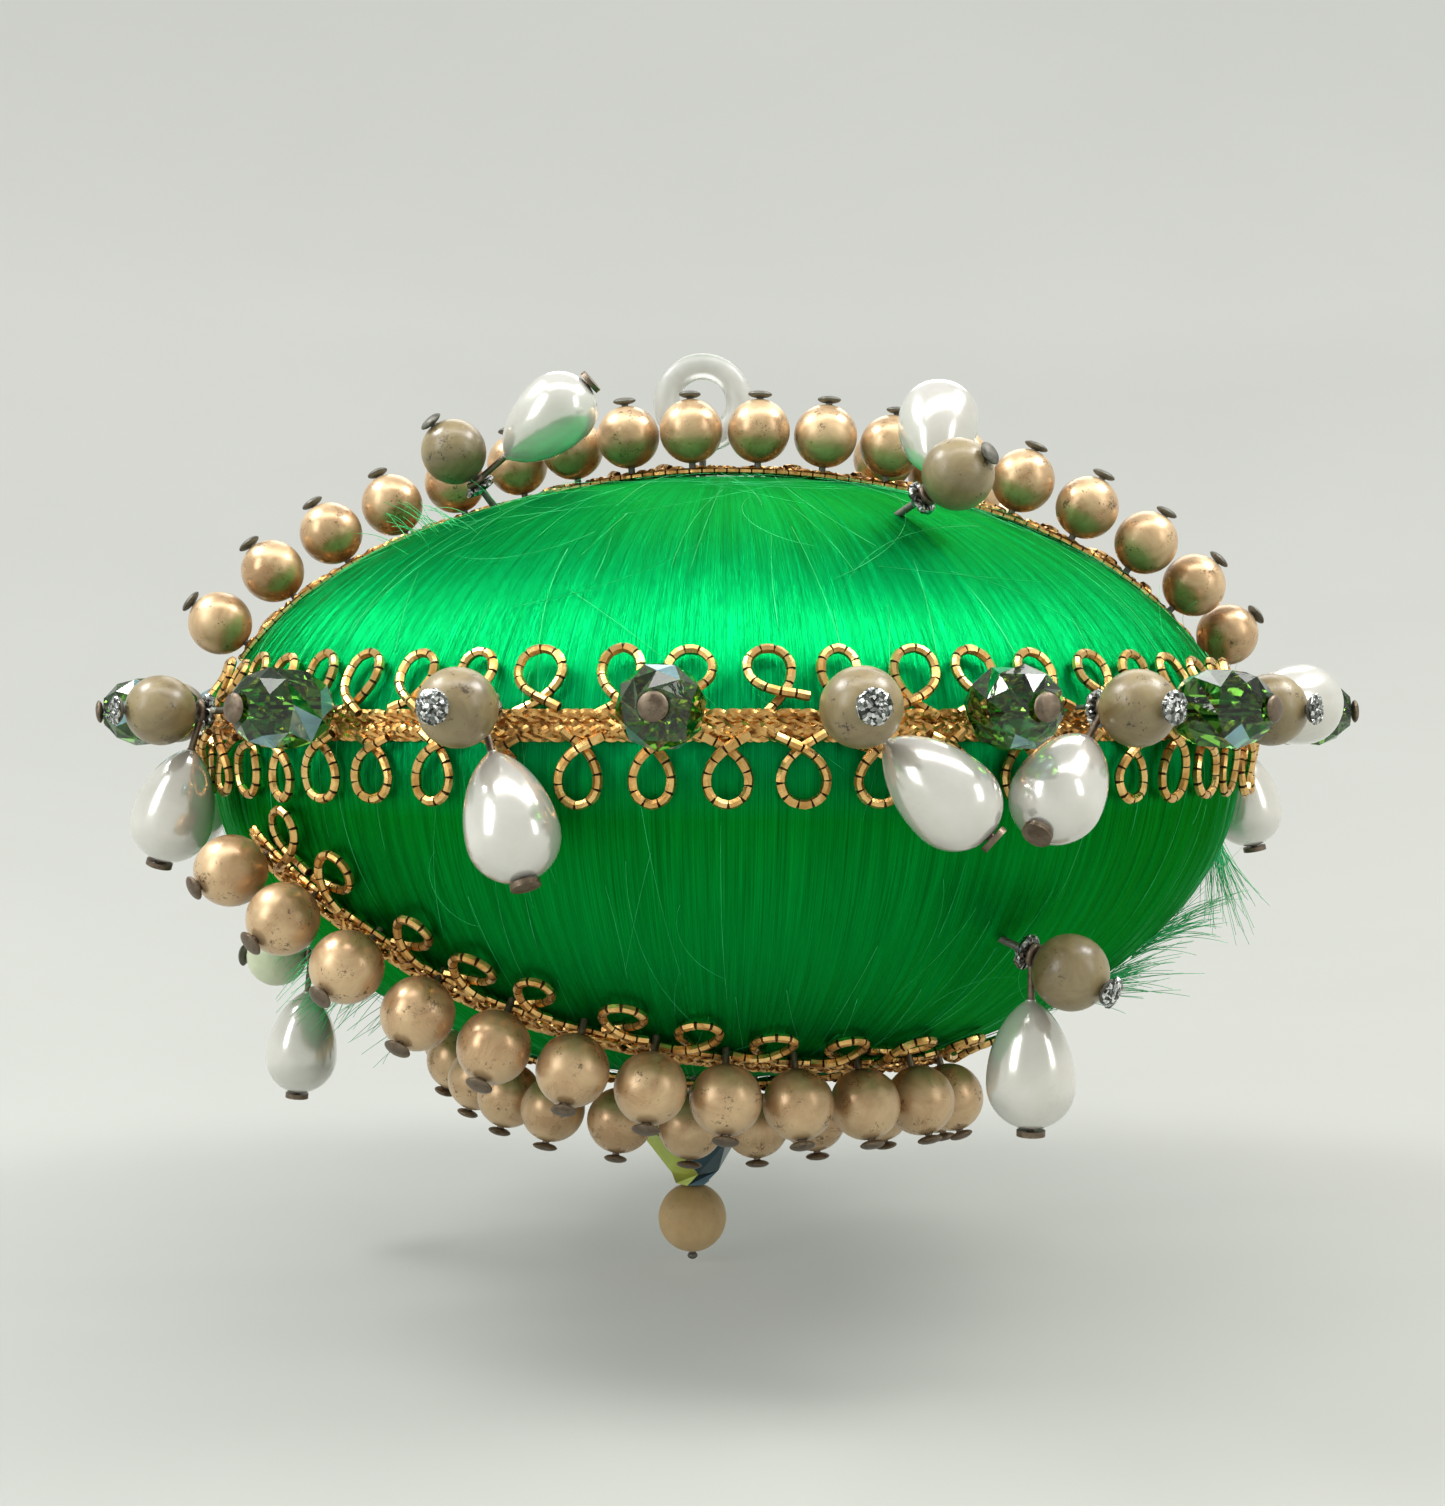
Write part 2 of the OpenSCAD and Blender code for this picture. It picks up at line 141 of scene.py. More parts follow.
def ball_point(az, lat):
    """A point of the thread, az round from the front and lat up from the widest line, in radians."""
    across = ball_r * np.cos(lat)
    return np.stack([centre[0] + across * np.sin(az), centre[1] - across * np.cos(az),
                     centre[2] + half_height(lat) * np.sin(lat)], -1)


def outward(points):
    """The direction straight off the ball, at points on or near it."""
    d = points - centre
    h = half_height(d[..., 2])
    return unit(np.stack([d[..., 0] / ball_r**2, d[..., 1] / ball_r**2, d[..., 2] / h**2], -1))


def onto_ball(points):
    d = points - centre
    h = half_height(d[..., 2])
    size = np.sqrt((d[..., 0]**2 + d[..., 1]**2) / ball_r**2 + (d[..., 2] / h)**2)
    return centre + d / size[..., None]


print("ball radius %.1f mm, heights %.1f and %.1f mm" % (ball_r / MM, top_h / MM, bottom_h / MM))

# %% [markdown]
# ## Camera, light and floor
# The ornament is small, so the camera stands close, level with the band, and looks very slightly down.
# A round pale studio with a curved foot surrounds it, so every side of it sees the same plain background.

# %% Camera
scene = bpy.context.scene
scene.view_settings.view_transform = "Standard"
camera = bpy.data.objects.new("camera", bpy.data.cameras.new("camera"))
scene.collection.objects.link(camera)
scene.camera = camera
camera.data.lens = 47.4
camera.data.sensor_width = 36
camera.location = (1.5 * MM, -151 * MM, centre[2] + 2.5 * MM)
camera.rotation_euler = (math.radians(90 - 0.8), 0, 0)
camera.data.clip_start = 5 * MM
print("camera %.0f mm from the ball's axis" % (-camera.location.y / MM))

# %% [markdown]
# Three soft lights above make the bright sheen on the upper half of the thread. Two tall ones at the sides
# draw the white streaks on the teardrops and keep the lower beads readable, and one behind lifts the rim.

# %% Lights
def soft_light(name, place, target, size, power, colour=(1, 1, 1)):
    light = bpy.data.lights.new(name, "AREA")
    light.shape = "RECTANGLE"
    light.size, light.size_y = size
    light.energy = power
    light.color = colour
    lamp = bpy.data.objects.new(name, light)
    scene.collection.objects.link(lamp)
    lamp.location = place
    aim = target - lamp.location
    lamp.rotation_mode = "QUATERNION"
    lamp.rotation_quaternion = aim.to_track_quat("-Z", "Y")
    lamp.visible_camera = False
    return lamp


middle = Vector(centre)
soft_light("overhead", (0.02, -0.11, 0.28), middle, (0.36, 0.07), 0.60, (1.0, 0.99, 0.97))
soft_light("upper_left", (-0.22, -0.01, 0.25), middle, (0.14, 0.10), 0.95, (0.98, 0.99, 1.0))
soft_light("upper_right", (0.23, -0.01, 0.25), middle, (0.14, 0.10), 0.85, (1.0, 0.99, 0.98))
soft_light("left_window", (-0.26, -0.22, 0.07), middle, (0.10, 0.30), 0.55, (0.97, 0.99, 1.0))
soft_light("right_window", (0.28, -0.20, 0.06), middle, (0.07, 0.26), 0.26, (1.0, 0.98, 0.95))
soft_light("behind", (0.05, 0.26, 0.24), middle, (0.30, 0.14), 0.35)

world = bpy.data.worlds.new("studio")
scene.world = world
world.use_nodes = True
sky = world.node_tree.nodes["Background"]
sky.inputs["Color"].default_value = (0.92, 0.93, 0.92, 1)
sky.inputs["Strength"].default_value = 0.50

# %% [markdown]
# ## Two ways to make a round shape
# Nearly every piece is either turned, like a pearl, or drawn along a path, like a cord. One function makes
# each kind as a plain grid of points. A `Heap` gathers many small shapes into one mesh, with a place
# around and along each shape kept as its UV, so a finish can follow the shape.

# %% Grids, turned shapes and tubes
def grid(rows, sides, loop=False):
    """Quads over rows x sides points, and each corner's (side, row) place. loop joins the last row."""
    r, s = np.meshgrid(np.arange(rows if loop else rows - 1), np.arange(sides), indexing="ij")
    r, s = r.ravel(), s.ravel()
    nr, ns = (r + 1) % rows, (s + 1) % sides
    faces = np.stack([r * sides + s, r * sides + ns, nr * sides + ns, nr * sides + s], 1)
    corners = np.stack([np.stack([s, r], 1), np.stack([s + 1, r], 1),
                        np.stack([s + 1, r + 1], 1), np.stack([s, r + 1], 1)], 1).astype(float)
    return faces, corners


def turned(profile, sides, loop=False, twist=0.0):
    """A profile of (radius, height) turned round local Z."""
    profile = np.array(profile, float)
    angle = np.arange(sides) * 2 * math.pi / sides
    if np.ndim(twist):
        angle = angle[None, :] + np.array(twist)[:, None]
    else:
        angle = np.broadcast_to(angle, (len(profile), sides))
    points = np.stack([profile[:, :1] * np.cos(angle), profile[:, :1] * np.sin(angle),
                       np.broadcast_to(profile[:, 1:], angle.shape)], -1)
    return points.reshape(-1, 3), grid(len(profile), sides, loop), (len(profile), sides, loop)


def tube(path, ups, wide, thick=None, sides=8, loop=False):
    """A tube along a path. ups says which way its thickness faces at each point."""
    ahead = np.roll(path, -1, 0) - np.roll(path, 1, 0)
    if not loop:
        ahead[0], ahead[-1] = path[1] - path[0], path[-1] - path[-2]
    side = unit(np.cross(ahead, ups))
    up = unit(np.cross(side, ahead))
    wide = np.broadcast_to(wide, len(path))[:, None, None]
    thick = wide if thick is None else np.broadcast_to(thick, len(path))[:, None, None]
    angle = (np.arange(sides) + 0.5) * 2 * math.pi / sides
    across = side[:, None] * np.cos(angle)[None, :, None] * wide
    upward = up[:, None] * np.sin(angle)[None, :, None] * thick
    points = path[:, None] + across + upward
    return points.reshape(-1, 3), grid(len(path), sides, loop), (len(path), sides, loop)


# %% A heap of small shapes
class Heap:
    """Many small shapes that become one mesh."""

    def __init__(self):
        self.points, self.faces, self.corners, self.kinds, self.count = [], [], [], [], 0

    def add(self, shape, kind=0, place=None):
        points, (faces, corners), (rows, sides, loop) = shape
        if place is not None:
            points = place(points)
        corners = corners / np.array([sides, max(rows - 1, 1)])
        self.points.append(points)
        self.faces += (faces + self.count).tolist()
        self.corners.append(corners.reshape(-1, 2))
        bands = rows if loop else rows - 1
        kinds = kind if np.size(kind) == bands * sides else np.repeat(np.broadcast_to(kind, bands), sides)
        self.kinds += kinds.tolist()
        if not loop:
            for start, turn, along in ((0, -1, 0.0), ((rows - 1) * sides, 1, 1.0)):
                self.faces.append([self.count + start + k for k in range(sides)][::turn])
                self.corners.append(np.tile([0.5, along], (sides, 1)))
                self.kinds.append(int(kinds[0 if start == 0 else -1]))
        self.count += len(points)

    def piece(self, name, materials, body, nodes=(), smooth=True, sharp=50):
        mesh = bpy.data.meshes.new(name)
        mesh.from_pydata(np.concatenate(self.points).tolist(), [], self.faces)
        uv = mesh.uv_layers.new(name="place")
        uv.data.foreach_set("uv", np.concatenate(self.corners).ravel())
        mesh.polygons.foreach_set("material_index", self.kinds)
        mesh.polygons.foreach_set("use_smooth", [smooth] * len(mesh.polygons))
        if smooth and sharp:
            mesh.set_sharp_from_angle(angle=math.radians(sharp))
        for material in materials:
            mesh.materials.append(material)
        mesh.update()
        return add_piece(name, mesh, body, nodes)


def add_piece(name, mesh, body, nodes=()):
    made = bpy.data.objects.new(name, mesh)
    scene.collection.objects.link(made)
    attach(made, body)
    if nodes:
        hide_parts(*nodes)
    print(f"{name}: {len(mesh.vertices)} points, {len(mesh.polygons)} faces, rides on {body}")
    return made


def stand(at, up, spin=0.0, tilt=0.0):
    """Sets a shape down at a place with its local Z along up."""
    z = unit(np.asarray(up, float))
    x = unit(np.cross([0, 0, 1] if abs(z[2]) < 0.9 else [0, 1, 0], z))
    y = np.cross(z, x)
    x, y = x * math.cos(spin) + y * math.sin(spin), y * math.cos(spin) - x * math.sin(spin)
    z, x = z * math.cos(tilt) + x * math.sin(tilt), x * math.cos(tilt) - z * math.sin(tilt)
    turn = np.stack([x, y, z])
    return lambda points: points @ turn + at


# %% [markdown]
# ## Finishes
# A finish is a Principled surface with its own fixed numbers, and textures that change its colour,
# roughness and bump. Effects that several finishes share, such as flecks of dirt or worn patches, are
# node groups: built once, then placed in each finish with their own values.

# %% Node helpers
def put(tree, kind, **values):
    """Adds a node. Names in capitals are sockets, the others are settings."""
    made = tree.nodes.new("ShaderNode" + kind)
    for key, value in values.items():
        if key[0].isupper():
            made.inputs[key.replace("_", " ")].default_value = value
        else:
            setattr(made, key, value)
    return made


def join(tree, source, out, target, into):
    tree.links.new(source.outputs[out], target.inputs[into])


def finish(name, **fixed):
    """A new material with a Principled surface that holds the fixed numbers."""
    material = bpy.data.materials.new(name)
    material.use_nodes = True
    shader = material.node_tree.nodes["Principled BSDF"]
    for key, value in fixed.items():
        shader.inputs[key.replace("_", " ")].default_value = value
    return material, material.node_tree, shader


def ramp(tree, *stops):
    """A colour ramp from (place, colour) stops."""
    made = tree.nodes.new("ShaderNodeValToRGB")
    band = made.color_ramp
    while len(band.elements) < len(stops):
        band.elements.new(0.5)
    for element, (place, colour) in zip(band.elements, stops):
        element.position = place
        element.color = (*colour, 1) if len(colour) == 3 else (colour[0],) * 3 + (1,)
    return made


def new_group(name, inputs, outputs):
    group = bpy.data.node_groups.new(name, "ShaderNodeTree")
    for label, kind, value in inputs:
        socket = group.interface.new_socket(label, in_out="INPUT", socket_type="NodeSocket" + kind)
        if value is not None:
            socket.default_value = value
    for label, kind in outputs:
        group.interface.new_socket(label, in_out="OUTPUT", socket_type="NodeSocket" + kind)
    return group, group.nodes.new("NodeGroupInput"), group.nodes.new("NodeGroupOutput")


def place_group(tree, group, **values):
    made = tree.nodes.new("ShaderNodeGroup")
    made.node_tree = group
    for key, value in values.items():
        made.inputs[key.replace("_", " ")].default_value = value
    where = put(tree, "TexCoord")
    join(tree, where, "Object", made, "Vector")
    return made


# %% [markdown]
# Old pearls and beads carry dark flecks where the coat has chipped, and they gather in patches. A fine
# noise is cut off high to leave small islands, and a coarse noise says where they may appear.

# %% Shared effect: flecks
flecks, ins, outs = new_group("flecks", [("Vector", "Vector", None), ("Scale", "Float", 2500.0),
                                         ("Amount", "Float", 0.5)], [("Mask", "Float")])
fine = put(flecks, "TexNoise", Detail=3.0, Roughness=0.6)
join(flecks, ins, "Vector", fine, "Vector")
join(flecks, ins, "Scale", fine, "Scale")
patch_scale = put(flecks, "Math", operation="MULTIPLY")
patch_scale.inputs[1].default_value = 0.16
join(flecks, ins, "Scale", patch_scale, 0)
patches = put(flecks, "TexNoise", Detail=2.0)
join(flecks, ins, "Vector", patches, "Vector")
join(flecks, patch_scale, 0, patches, "Scale")
both = put(flecks, "Math", operation="MULTIPLY")
join(flecks, fine, "Fac", both, 0)
join(flecks, patches, "Fac", both, 1)
cut = put(flecks, "MapRange", From_Min=0.42, From_Max=0.34, To_Min=1.0, To_Max=0.0)
join(flecks, both, 0, cut, "Value")
amount = put(flecks, "Math", operation="MULTIPLY")
join(flecks, cut, "Result", amount, 0)
join(flecks, ins, "Amount", amount, 1)
join(flecks, amount, 0, outs, "Mask")
print("group:", flecks.name)

# %% Shared effect: cloudy wear
wear, ins, outs = new_group("wear", [("Vector", "Vector", None), ("Scale", "Float", 500.0)],
                            [("Mask", "Float"), ("Height", "Float")])
cloud = put(wear, "TexNoise", Detail=5.0, Roughness=0.62, Distortion=0.6)
join(wear, ins, "Vector", cloud, "Vector")
join(wear, ins, "Scale", cloud, "Scale")
spread = put(wear, "MapRange", From_Min=0.35, From_Max=0.68)
join(wear, cloud, "Fac", spread, "Value")
join(wear, spread, "Result", outs, "Mask")
join(wear, cloud, "Fac", outs, "Height")
print("group:", wear.name)

# %% [markdown]
# The thread is laid from pole to pole, so its fine lines follow the angle round the ball's axis. The group
# turns a place into that angle and stretches a noise along it: thousands of lines round the ball, and only
# slow changes along each one.

# %% Shared effect: laid thread
thread_lines, ins, outs = new_group(
    "thread_lines", [("Vector", "Vector", None), ("Middle", "Vector", None), ("Lines", "Float", 420.0),
                     ("Wander", "Float", 14.0)], [("Lines", "Float"), ("Bundles", "Float")])
shifted = put(thread_lines, "VectorMath", operation="SUBTRACT")
join(thread_lines, ins, "Vector", shifted, 0)
join(thread_lines, ins, "Middle", shifted, 1)
split = put(thread_lines, "SeparateXYZ")
join(thread_lines, shifted, "Vector", split, 0)
angle = put(thread_lines, "Math", operation="ARCTAN2")
join(thread_lines, split, "X", angle, 0)
join(thread_lines, split, "Y", angle, 1)
along = put(thread_lines, "Math", operation="MULTIPLY")
join(thread_lines, split, "Z", along, 0)
join(thread_lines, ins, "Wander", along, 1)
for label, share, detail in (("Lines", 1.0, 4.0), ("Bundles", 0.12, 2.0)):
    many = put(thread_lines, "Math", operation="MULTIPLY")
    many.inputs[1].default_value = share
    join(thread_lines, ins, "Lines", many, 0)
    turns = put(thread_lines, "Math", operation="MULTIPLY")
    join(thread_lines, angle, 0, turns, 0)
    join(thread_lines, many, 0, turns, 1)
    flat = put(thread_lines, "CombineXYZ")
    join(thread_lines, turns, 0, flat, "X")
    join(thread_lines, along, 0, flat, "Y")
    noise = put(thread_lines, "TexNoise", Scale=1.0, Detail=detail, Roughness=0.7)
    join(thread_lines, flat, 0, noise, "Vector")
    join(thread_lines, noise, "Fac", outs, label)
print("group:", thread_lines.name)


def bump(tree, source, out, shader, strength, distance):
    """Feeds a height into the surface's normal. distance is in metres."""
    made = put(tree, "Bump", Strength=strength, Distance=distance)
    join(tree, source, out, made, "Height")
    join(tree, made, "Normal", shader, "Normal")
    return made


def paint(tree, colour, shader):
    tree.links.new(colour, shader.inputs["Base Color"])


def vary_roughness(tree, cloud, shader, dark, bright):
    """Runs the roughness from the mask's dark value to its bright one."""
    made = put(tree, "MapRange", To_Min=dark, To_Max=bright)
    join(tree, cloud, "Mask", made, "Value")
    join(tree, made, "Result", shader, "Roughness")


def mix_socket(sockets, kind):
    return next(s for s in sockets if s.type == kind)


def mix(tree, mask, out, colour_a, colour_b):
    """The colour between colour_a and colour_b at a mask. Each is three numbers or a socket."""
    made = put(tree, "Mix", data_type="RGBA")
    tree.links.new(mask.outputs[out], mix_socket(made.inputs, "VALUE"))
    slots = [s for s in made.inputs if s.type == "RGBA"]
    for slot, colour in zip(slots, (colour_a, colour_b)):
        if isinstance(colour, tuple):
            slot.default_value = (*colour, 1)
        else:
            tree.links.new(colour, slot)
    return mix_socket(made.outputs, "RGBA")


def multiply(tree, share, colour_a, colour_b):
    """colour_a darkened by colour_b, as far as share says."""
    made = put(tree, "Mix", data_type="RGBA", blend_type="MULTIPLY")
    mix_socket(made.inputs, "VALUE").default_value = share
    slots = [s for s in made.inputs if s.type == "RGBA"]
    for slot, colour in zip(slots, (colour_a, colour_b)):
        tree.links.new(colour, slot)
    return mix_socket(made.outputs, "RGBA")


# %% [markdown]
# ## The thread finish
# Shiny rayon thread reflects like a bundle of tiny rods: the highlight stretches across the threads and
# takes the thread's own green. An anisotropic, partly metallic surface with a tangent round the axis does
# this, turned a quarter so that the rods run from pole to pole.

# %% Satin thread
def satin_finish():
    material, tree, shader = finish("satin_thread", Metallic=0.96, Roughness=0.30, Anisotropic=0.80,
                                    Anisotropic_Rotation=0.25, Specular_Tint=(0.10, 0.62, 0.30, 1))
    lines = place_group(tree, thread_lines, Lines=520.0, Wander=90.0)
    lines.inputs["Middle"].default_value = tuple(centre)
    tone = ramp(tree, (0.30, (0.0, 0.16, 0.022)), (0.50, (0.0, 0.30, 0.072)), (0.72, (0.001, 0.42, 0.12)))
    join(tree, lines, "Lines", tone, "Fac")
    shade = ramp(tree, (0.35, (0.78,)), (0.6, (1.0,)))
    join(tree, lines, "Bundles", shade, "Fac")
    shaded = multiply(tree, 0.8, tone.outputs["Color"], shade.outputs["Color"])
    # Painted shade: a ramp by height makes the thread darker and less blue over the lower half, darkest just
    # under the band, like shade under light from above.
    where = put(tree, "TexCoord")
    split = put(tree, "SeparateXYZ")
    join(tree, where, "Object", split, 0)
    height = put(tree, "MapRange", From_Min=centre[2] - bottom_h, From_Max=centre[2] + top_h)
    join(tree, split, "Z", height, "Value")
    painted_shade_by_height = ramp(tree, (0.0, (1.0, 1.0, 0.85)), (0.22, (1.0, 1.0, 0.62)), (0.46, (1.0, 0.66, 0.20)),
                 (0.56, (1.0, 0.95, 1.0)), (0.68, (1.0, 1.0, 1.0)))
    join(tree, height, "Result", painted_shade_by_height, "Fac")
    colour = multiply(tree, 1.0, shaded, painted_shade_by_height.outputs["Color"])
    paint(tree, colour, shader)
    bump(tree, lines, "Lines", shader, 0.55, 0.10 * MM)
    tangent = put(tree, "Tangent", direction_type="RADIAL", axis="Z")
    join(tree, tangent, "Tangent", shader, "Tangent")
    return material


def stray_finish():
    material, tree, shader = finish("stray_thread", Roughness=0.45, Metallic=0.6)
    cloud = place_group(tree, wear, Scale=300.0)
    colour = mix(tree, cloud, "Mask", (0.0, 0.36, 0.07), (0.06, 0.66, 0.26))
    paint(tree, colour, shader)
    return material


satin_thread = satin_finish()
stray_thread = stray_finish()
print("finishes:", satin_thread.name, stray_thread.name)

# %% [markdown]
# ## The thread-wrapped ball
# The wrapping is one closed surface with about a thousand columns of points round it. Each point moves in
# or out by a sum of waves round the ball, coarse ones for the bundles that the winder laid and fine ones
# for single strands. The waves lean a little from pole to pole, as hand-laid thread does.

# %% Thread surface
rng = np.random.default_rng(11)
THREAD_COLUMNS, THREAD_ROWS = 1080, 120
waves = ((13, 0.03), (31, 0.03), (71, 0.02), (127, 0.018), (211, 0.018), (341, 0.018), (433, 0.014))


def thread_height(az, lat):
    """How far the thread stands in or out, in metres, at an angle round and a latitude."""
    total = 0
    for count, size in waves:
        start, lean = rng.uniform(0, 2 * math.pi), rng.uniform(-0.06, 0.06)
        total = total + size * np.sin(count * (az + lean * np.sin(lat * 1.3 + start)) + start)
    return total * MM * np.clip(np.cos(lat) * 1.6, 0.1, 1)


lat = np.radians(np.linspace(-89.3, 89.3, THREAD_ROWS))[:, None]
az = (np.arange(THREAD_COLUMNS) * 2 * math.pi / THREAD_COLUMNS)[None, :]
lat, az = np.broadcast_arrays(lat, az)
surface = ball_point(az, lat)
surface = surface + outward(surface) * (thread_height(az, lat) - 0.10 * MM)[..., None]
heap = Heap()
heap.add((surface.reshape(-1, 3), grid(THREAD_ROWS, THREAD_COLUMNS), (THREAD_ROWS, THREAD_COLUMNS, False)))
heap.piece("satin_threads", [satin_thread], "ornament", ["satin_wrap"], sharp=0)

# %% [markdown]
# ## Stray fibres
# Old thread frays. Single fibres cross the surface at odd angles, stand off around the outline, and hang
# in small tufts where a strand has broken. Each is a very thin tube with three sides; together they are
# one piece. Seeded random numbers keep them the same on every run.

# %% Fibres
FIBRE_R = 0.028 * MM


def fibre(heap, path, radius=FIBRE_R):
    taper = radius * np.linspace(1, 0.55, len(path))
    heap.add(tube(path, outward(path), taper, sides=3))


def loose_fibre(start_az, start_lat, heading, length, lift, curl, steps=14):
    """A fibre that starts on the ball, runs along a heading and lifts off it."""
    at = ball_point(np.float64(start_az), np.float64(start_lat))
    path = [at]
    for k in range(1, steps):
        up = outward(at)
        east = unit(np.cross([0, 0, 1], up))
        north = np.cross(up, east)
        heading += curl / steps
        at = onto_ball(at + (east * math.sin(heading) + north * math.cos(heading)) * length / steps)
        path.append(at)
    path = np.array(path)
    rise = lift * np.linspace(0, 1, steps)**2 + 0.08 * MM
    return path + outward(path) * rise[:, None]


fibres = Heap()
for k in range(300):  # lying on the ball
    fibre(fibres, loose_fibre(rng.uniform(-math.pi, math.pi), math.radians(rng.uniform(-75, 80)),
                              rng.normal(0, 0.12) + (math.pi if k % 2 else 0), rng.uniform(6, 18) * MM,
                              rng.uniform(0, 0.25) * MM, rng.normal(0, 0.18)), FIBRE_R * 0.8)
for k in range(80):  # crossing the upper half
    fibre(fibres, loose_fibre(rng.uniform(-math.pi, math.pi), math.radians(rng.uniform(25, 80)),
                              rng.uniform(0, 2 * math.pi), rng.uniform(8, 22) * MM,
                              rng.uniform(0, 0.8) * MM, rng.normal(0, 0.9)), FIBRE_R * 0.7)
for k in range(90):  # standing off the outline
    fibre(fibres, loose_fibre(rng.uniform(-math.pi, math.pi), math.radians(rng.uniform(-65, 30)),
                              rng.normal(0, 0.6) + (math.pi if k % 2 else 0), rng.uniform(3, 8) * MM,
                              rng.uniform(0.4, 2.0) * MM, rng.normal(0, 1.2)), FIBRE_R * 0.6)
print("fibres so far:", len(fibres.points))


# %% Tufts
def tuft(heap, az, lat, count, spread, length, direction, droop):
    """Broken strands that leave the ball together and fan out. Angles are in degrees."""
    for k in range(count):
        start_az = np.radians(az + rng.normal(0, spread))
        start = ball_point(start_az, np.radians(lat + rng.normal(0, spread * 0.5)))
        heading = unit(np.array(direction) + rng.normal(0, 0.13, 3))
        size = length * rng.uniform(0.45, 1.0)
        t = np.linspace(0, 1, 10)[:, None]
        bend = rng.normal(0, 0.10, 3)
        path = start + heading * size * t + (np.array([0, 0, -droop]) + bend) * size * t**2
        heap.add(tube(path, outward(path), FIBRE_R * np.linspace(1.3, 0.6, 10), sides=3))


tuft(fibres, 93, -12, 75, 1.4, 8.5 * MM, (0.30, 0.0, -0.9), 0.1)
tuft(fibres, 62, -44, 80, 4.5, 7.5 * MM, (0.90, -0.25, 0.35), 0.12)
tuft(fibres, 74, -34, 60, 5.0, 6.5 * MM, (0.85, -0.2, 0.5), 0.15)
tuft(fibres, -88, -40, 45, 6.0, 5 * MM, (-0.8, -0.1, -0.4), 0.25)
tuft(fibres, -70, -45, 40, 7.0, 5 * MM, (-0.6, -0.3, -0.5), 0.1)
tuft(fibres, -50, 48, 24, 5.0, 5 * MM, (-0.5, -0.2, 0.5), 0.3)
tuft(fibres, 150, 20, 40, 6.0, 6 * MM, (0.3, 0.8, -0.3), 0.3)
fibres.piece("stray_fibres", [stray_thread], "ornament", sharp=0)

# %% [markdown]
# ## Gold finishes
# The braid and loops are thread wrapped in thin gold foil. Foil is a true metal, so the colour sits in the
# metal's reflection. It is tarnished to orange and brown in the folds, with bright edges, so a cloudy mask
# mixes bright gold with dull gold and also makes the dull places rougher.

# %% Gold foil
def gold_finish(name, bright, dull, rough, cloud_scale):
    material, tree, shader = finish(name, Metallic=1.0)
    cloud = place_group(tree, wear, Scale=cloud_scale)
    paint(tree, mix(tree, cloud, "Mask", dull, bright), shader)
    vary_roughness(tree, cloud, shader, rough + 0.22, rough)
    grain = put(tree, "TexNoise", Scale=6000.0, Detail=2.0)
    where = put(tree, "TexCoord")
    join(tree, where, "Object", grain, "Vector")
    bump(tree, grain, "Fac", shader, 0.35, 0.03 * MM)
    return material


gold_foil = gold_finish("gold_foil", (0.93, 0.62, 0.25), (0.55, 0.28, 0.075), 0.20, 900.0)
gold_braid = gold_finish("gold_braid", (0.92, 0.58, 0.21), (0.45, 0.20, 0.05), 0.18, 1500.0)
gap_thread = gold_finish("gap_thread", (0.10, 0.055, 0.02), (0.03, 0.015, 0.006), 0.45, 900.0)
print("finishes:", gold_foil.name, gold_braid.name, gap_thread.name)

# %% [markdown]
# ## Paths on the ball
# A garland's braid runs under its row of pearls, so the pearls' own places, in the order they were made,
# give the path. It is carried half a pearl past each end, smoothed, and laid back onto the ball.

# %% Smooth paths
def resample(points, step, loop=False):
    """Evenly spaced points on a smooth curve through the given ones."""
    known = np.concatenate([points, points[:1]]) if loop else points
    length = np.concatenate([[0], np.cumsum(np.linalg.norm(np.diff(known, axis=0), axis=1))])
    slope = np.gradient(known, length, axis=0)
    if loop:
        slope[0] = slope[-1] = (known[1] - known[-2]) / (length[1] + length[-1] - length[-2])
    count = max(int(round(length[-1] / step)), 3)
    s = np.linspace(0, length[-1], count + 1)[:count + (0 if loop else 1)]
    k = np.clip(np.searchsorted(length, s, side="right") - 1, 0, len(known) - 2)
    h = length[k + 1] - length[k]
    t = ((s - length[k]) / h)[:, None]
    h = h[:, None]
    return ((2 * t**3 - 3 * t**2 + 1) * known[k] + (t**3 - 2 * t**2 + t) * h * slope[k]
            + (3 * t**2 - 2 * t**3) * known[k + 1] + (t**3 - t**2) * h * slope[k + 1])


def rows_of(node):
    """The middles of a node's parts, split where the row jumps to another place."""
    middles = np.array([box_middle(part) for part in loose_parts(node)])
    gaps = np.linalg.norm(np.diff(middles, axis=0), axis=1)
    cuts = np.where(gaps > 1.5 * np.median(gaps))[0] + 1
    return np.split(middles, cuts)


def garland_path(row):
    reach = 0.55
    ends = [row[0] * (1 + reach) - row[1] * reach], [row[-1] * (1 + reach) - row[-2] * reach]
    return onto_ball(resample(onto_ball(np.concatenate([ends[0], row, ends[1]])), 0.12 * MM))


garland_rows = {name: rows_of(name + "_pearls") for name in ("top_garland", "bottom_garland")}
for name, rows in garland_rows.items():
    print(name, "rows of", [len(row) for row in rows], "pearls")

# %% [markdown]
# ## Plaited braid
# The braid is a flat plait: foil strands that swing from edge to edge and pass over and under each
# other. Each strand is a thin flat tube whose place across the width follows a wave. Every strand starts
# at another point of the wave, and its height follows a faster wave, which makes the crossings. Along
# both edges of each garland's braid runs a thin wrapped cord.

# %% Plait
band_points = node_points("band_braid")
band_low, band_high = band_points.min(0), band_points.max(0)
band_mid_z = (band_low[2] + band_high[2]) / 2
braid_w = band_high[2] - band_low[2]
band_across = np.hypot(band_points[:, 0] - centre[0], band_points[:, 1] - centre[1])
braid_out = (band_across.max() + band_across.min()) / 2
braid_t = 0.8 * MM
STRANDS, STRAND_W, STRAND_T = 7, 0.23 * MM, 0.13 * MM


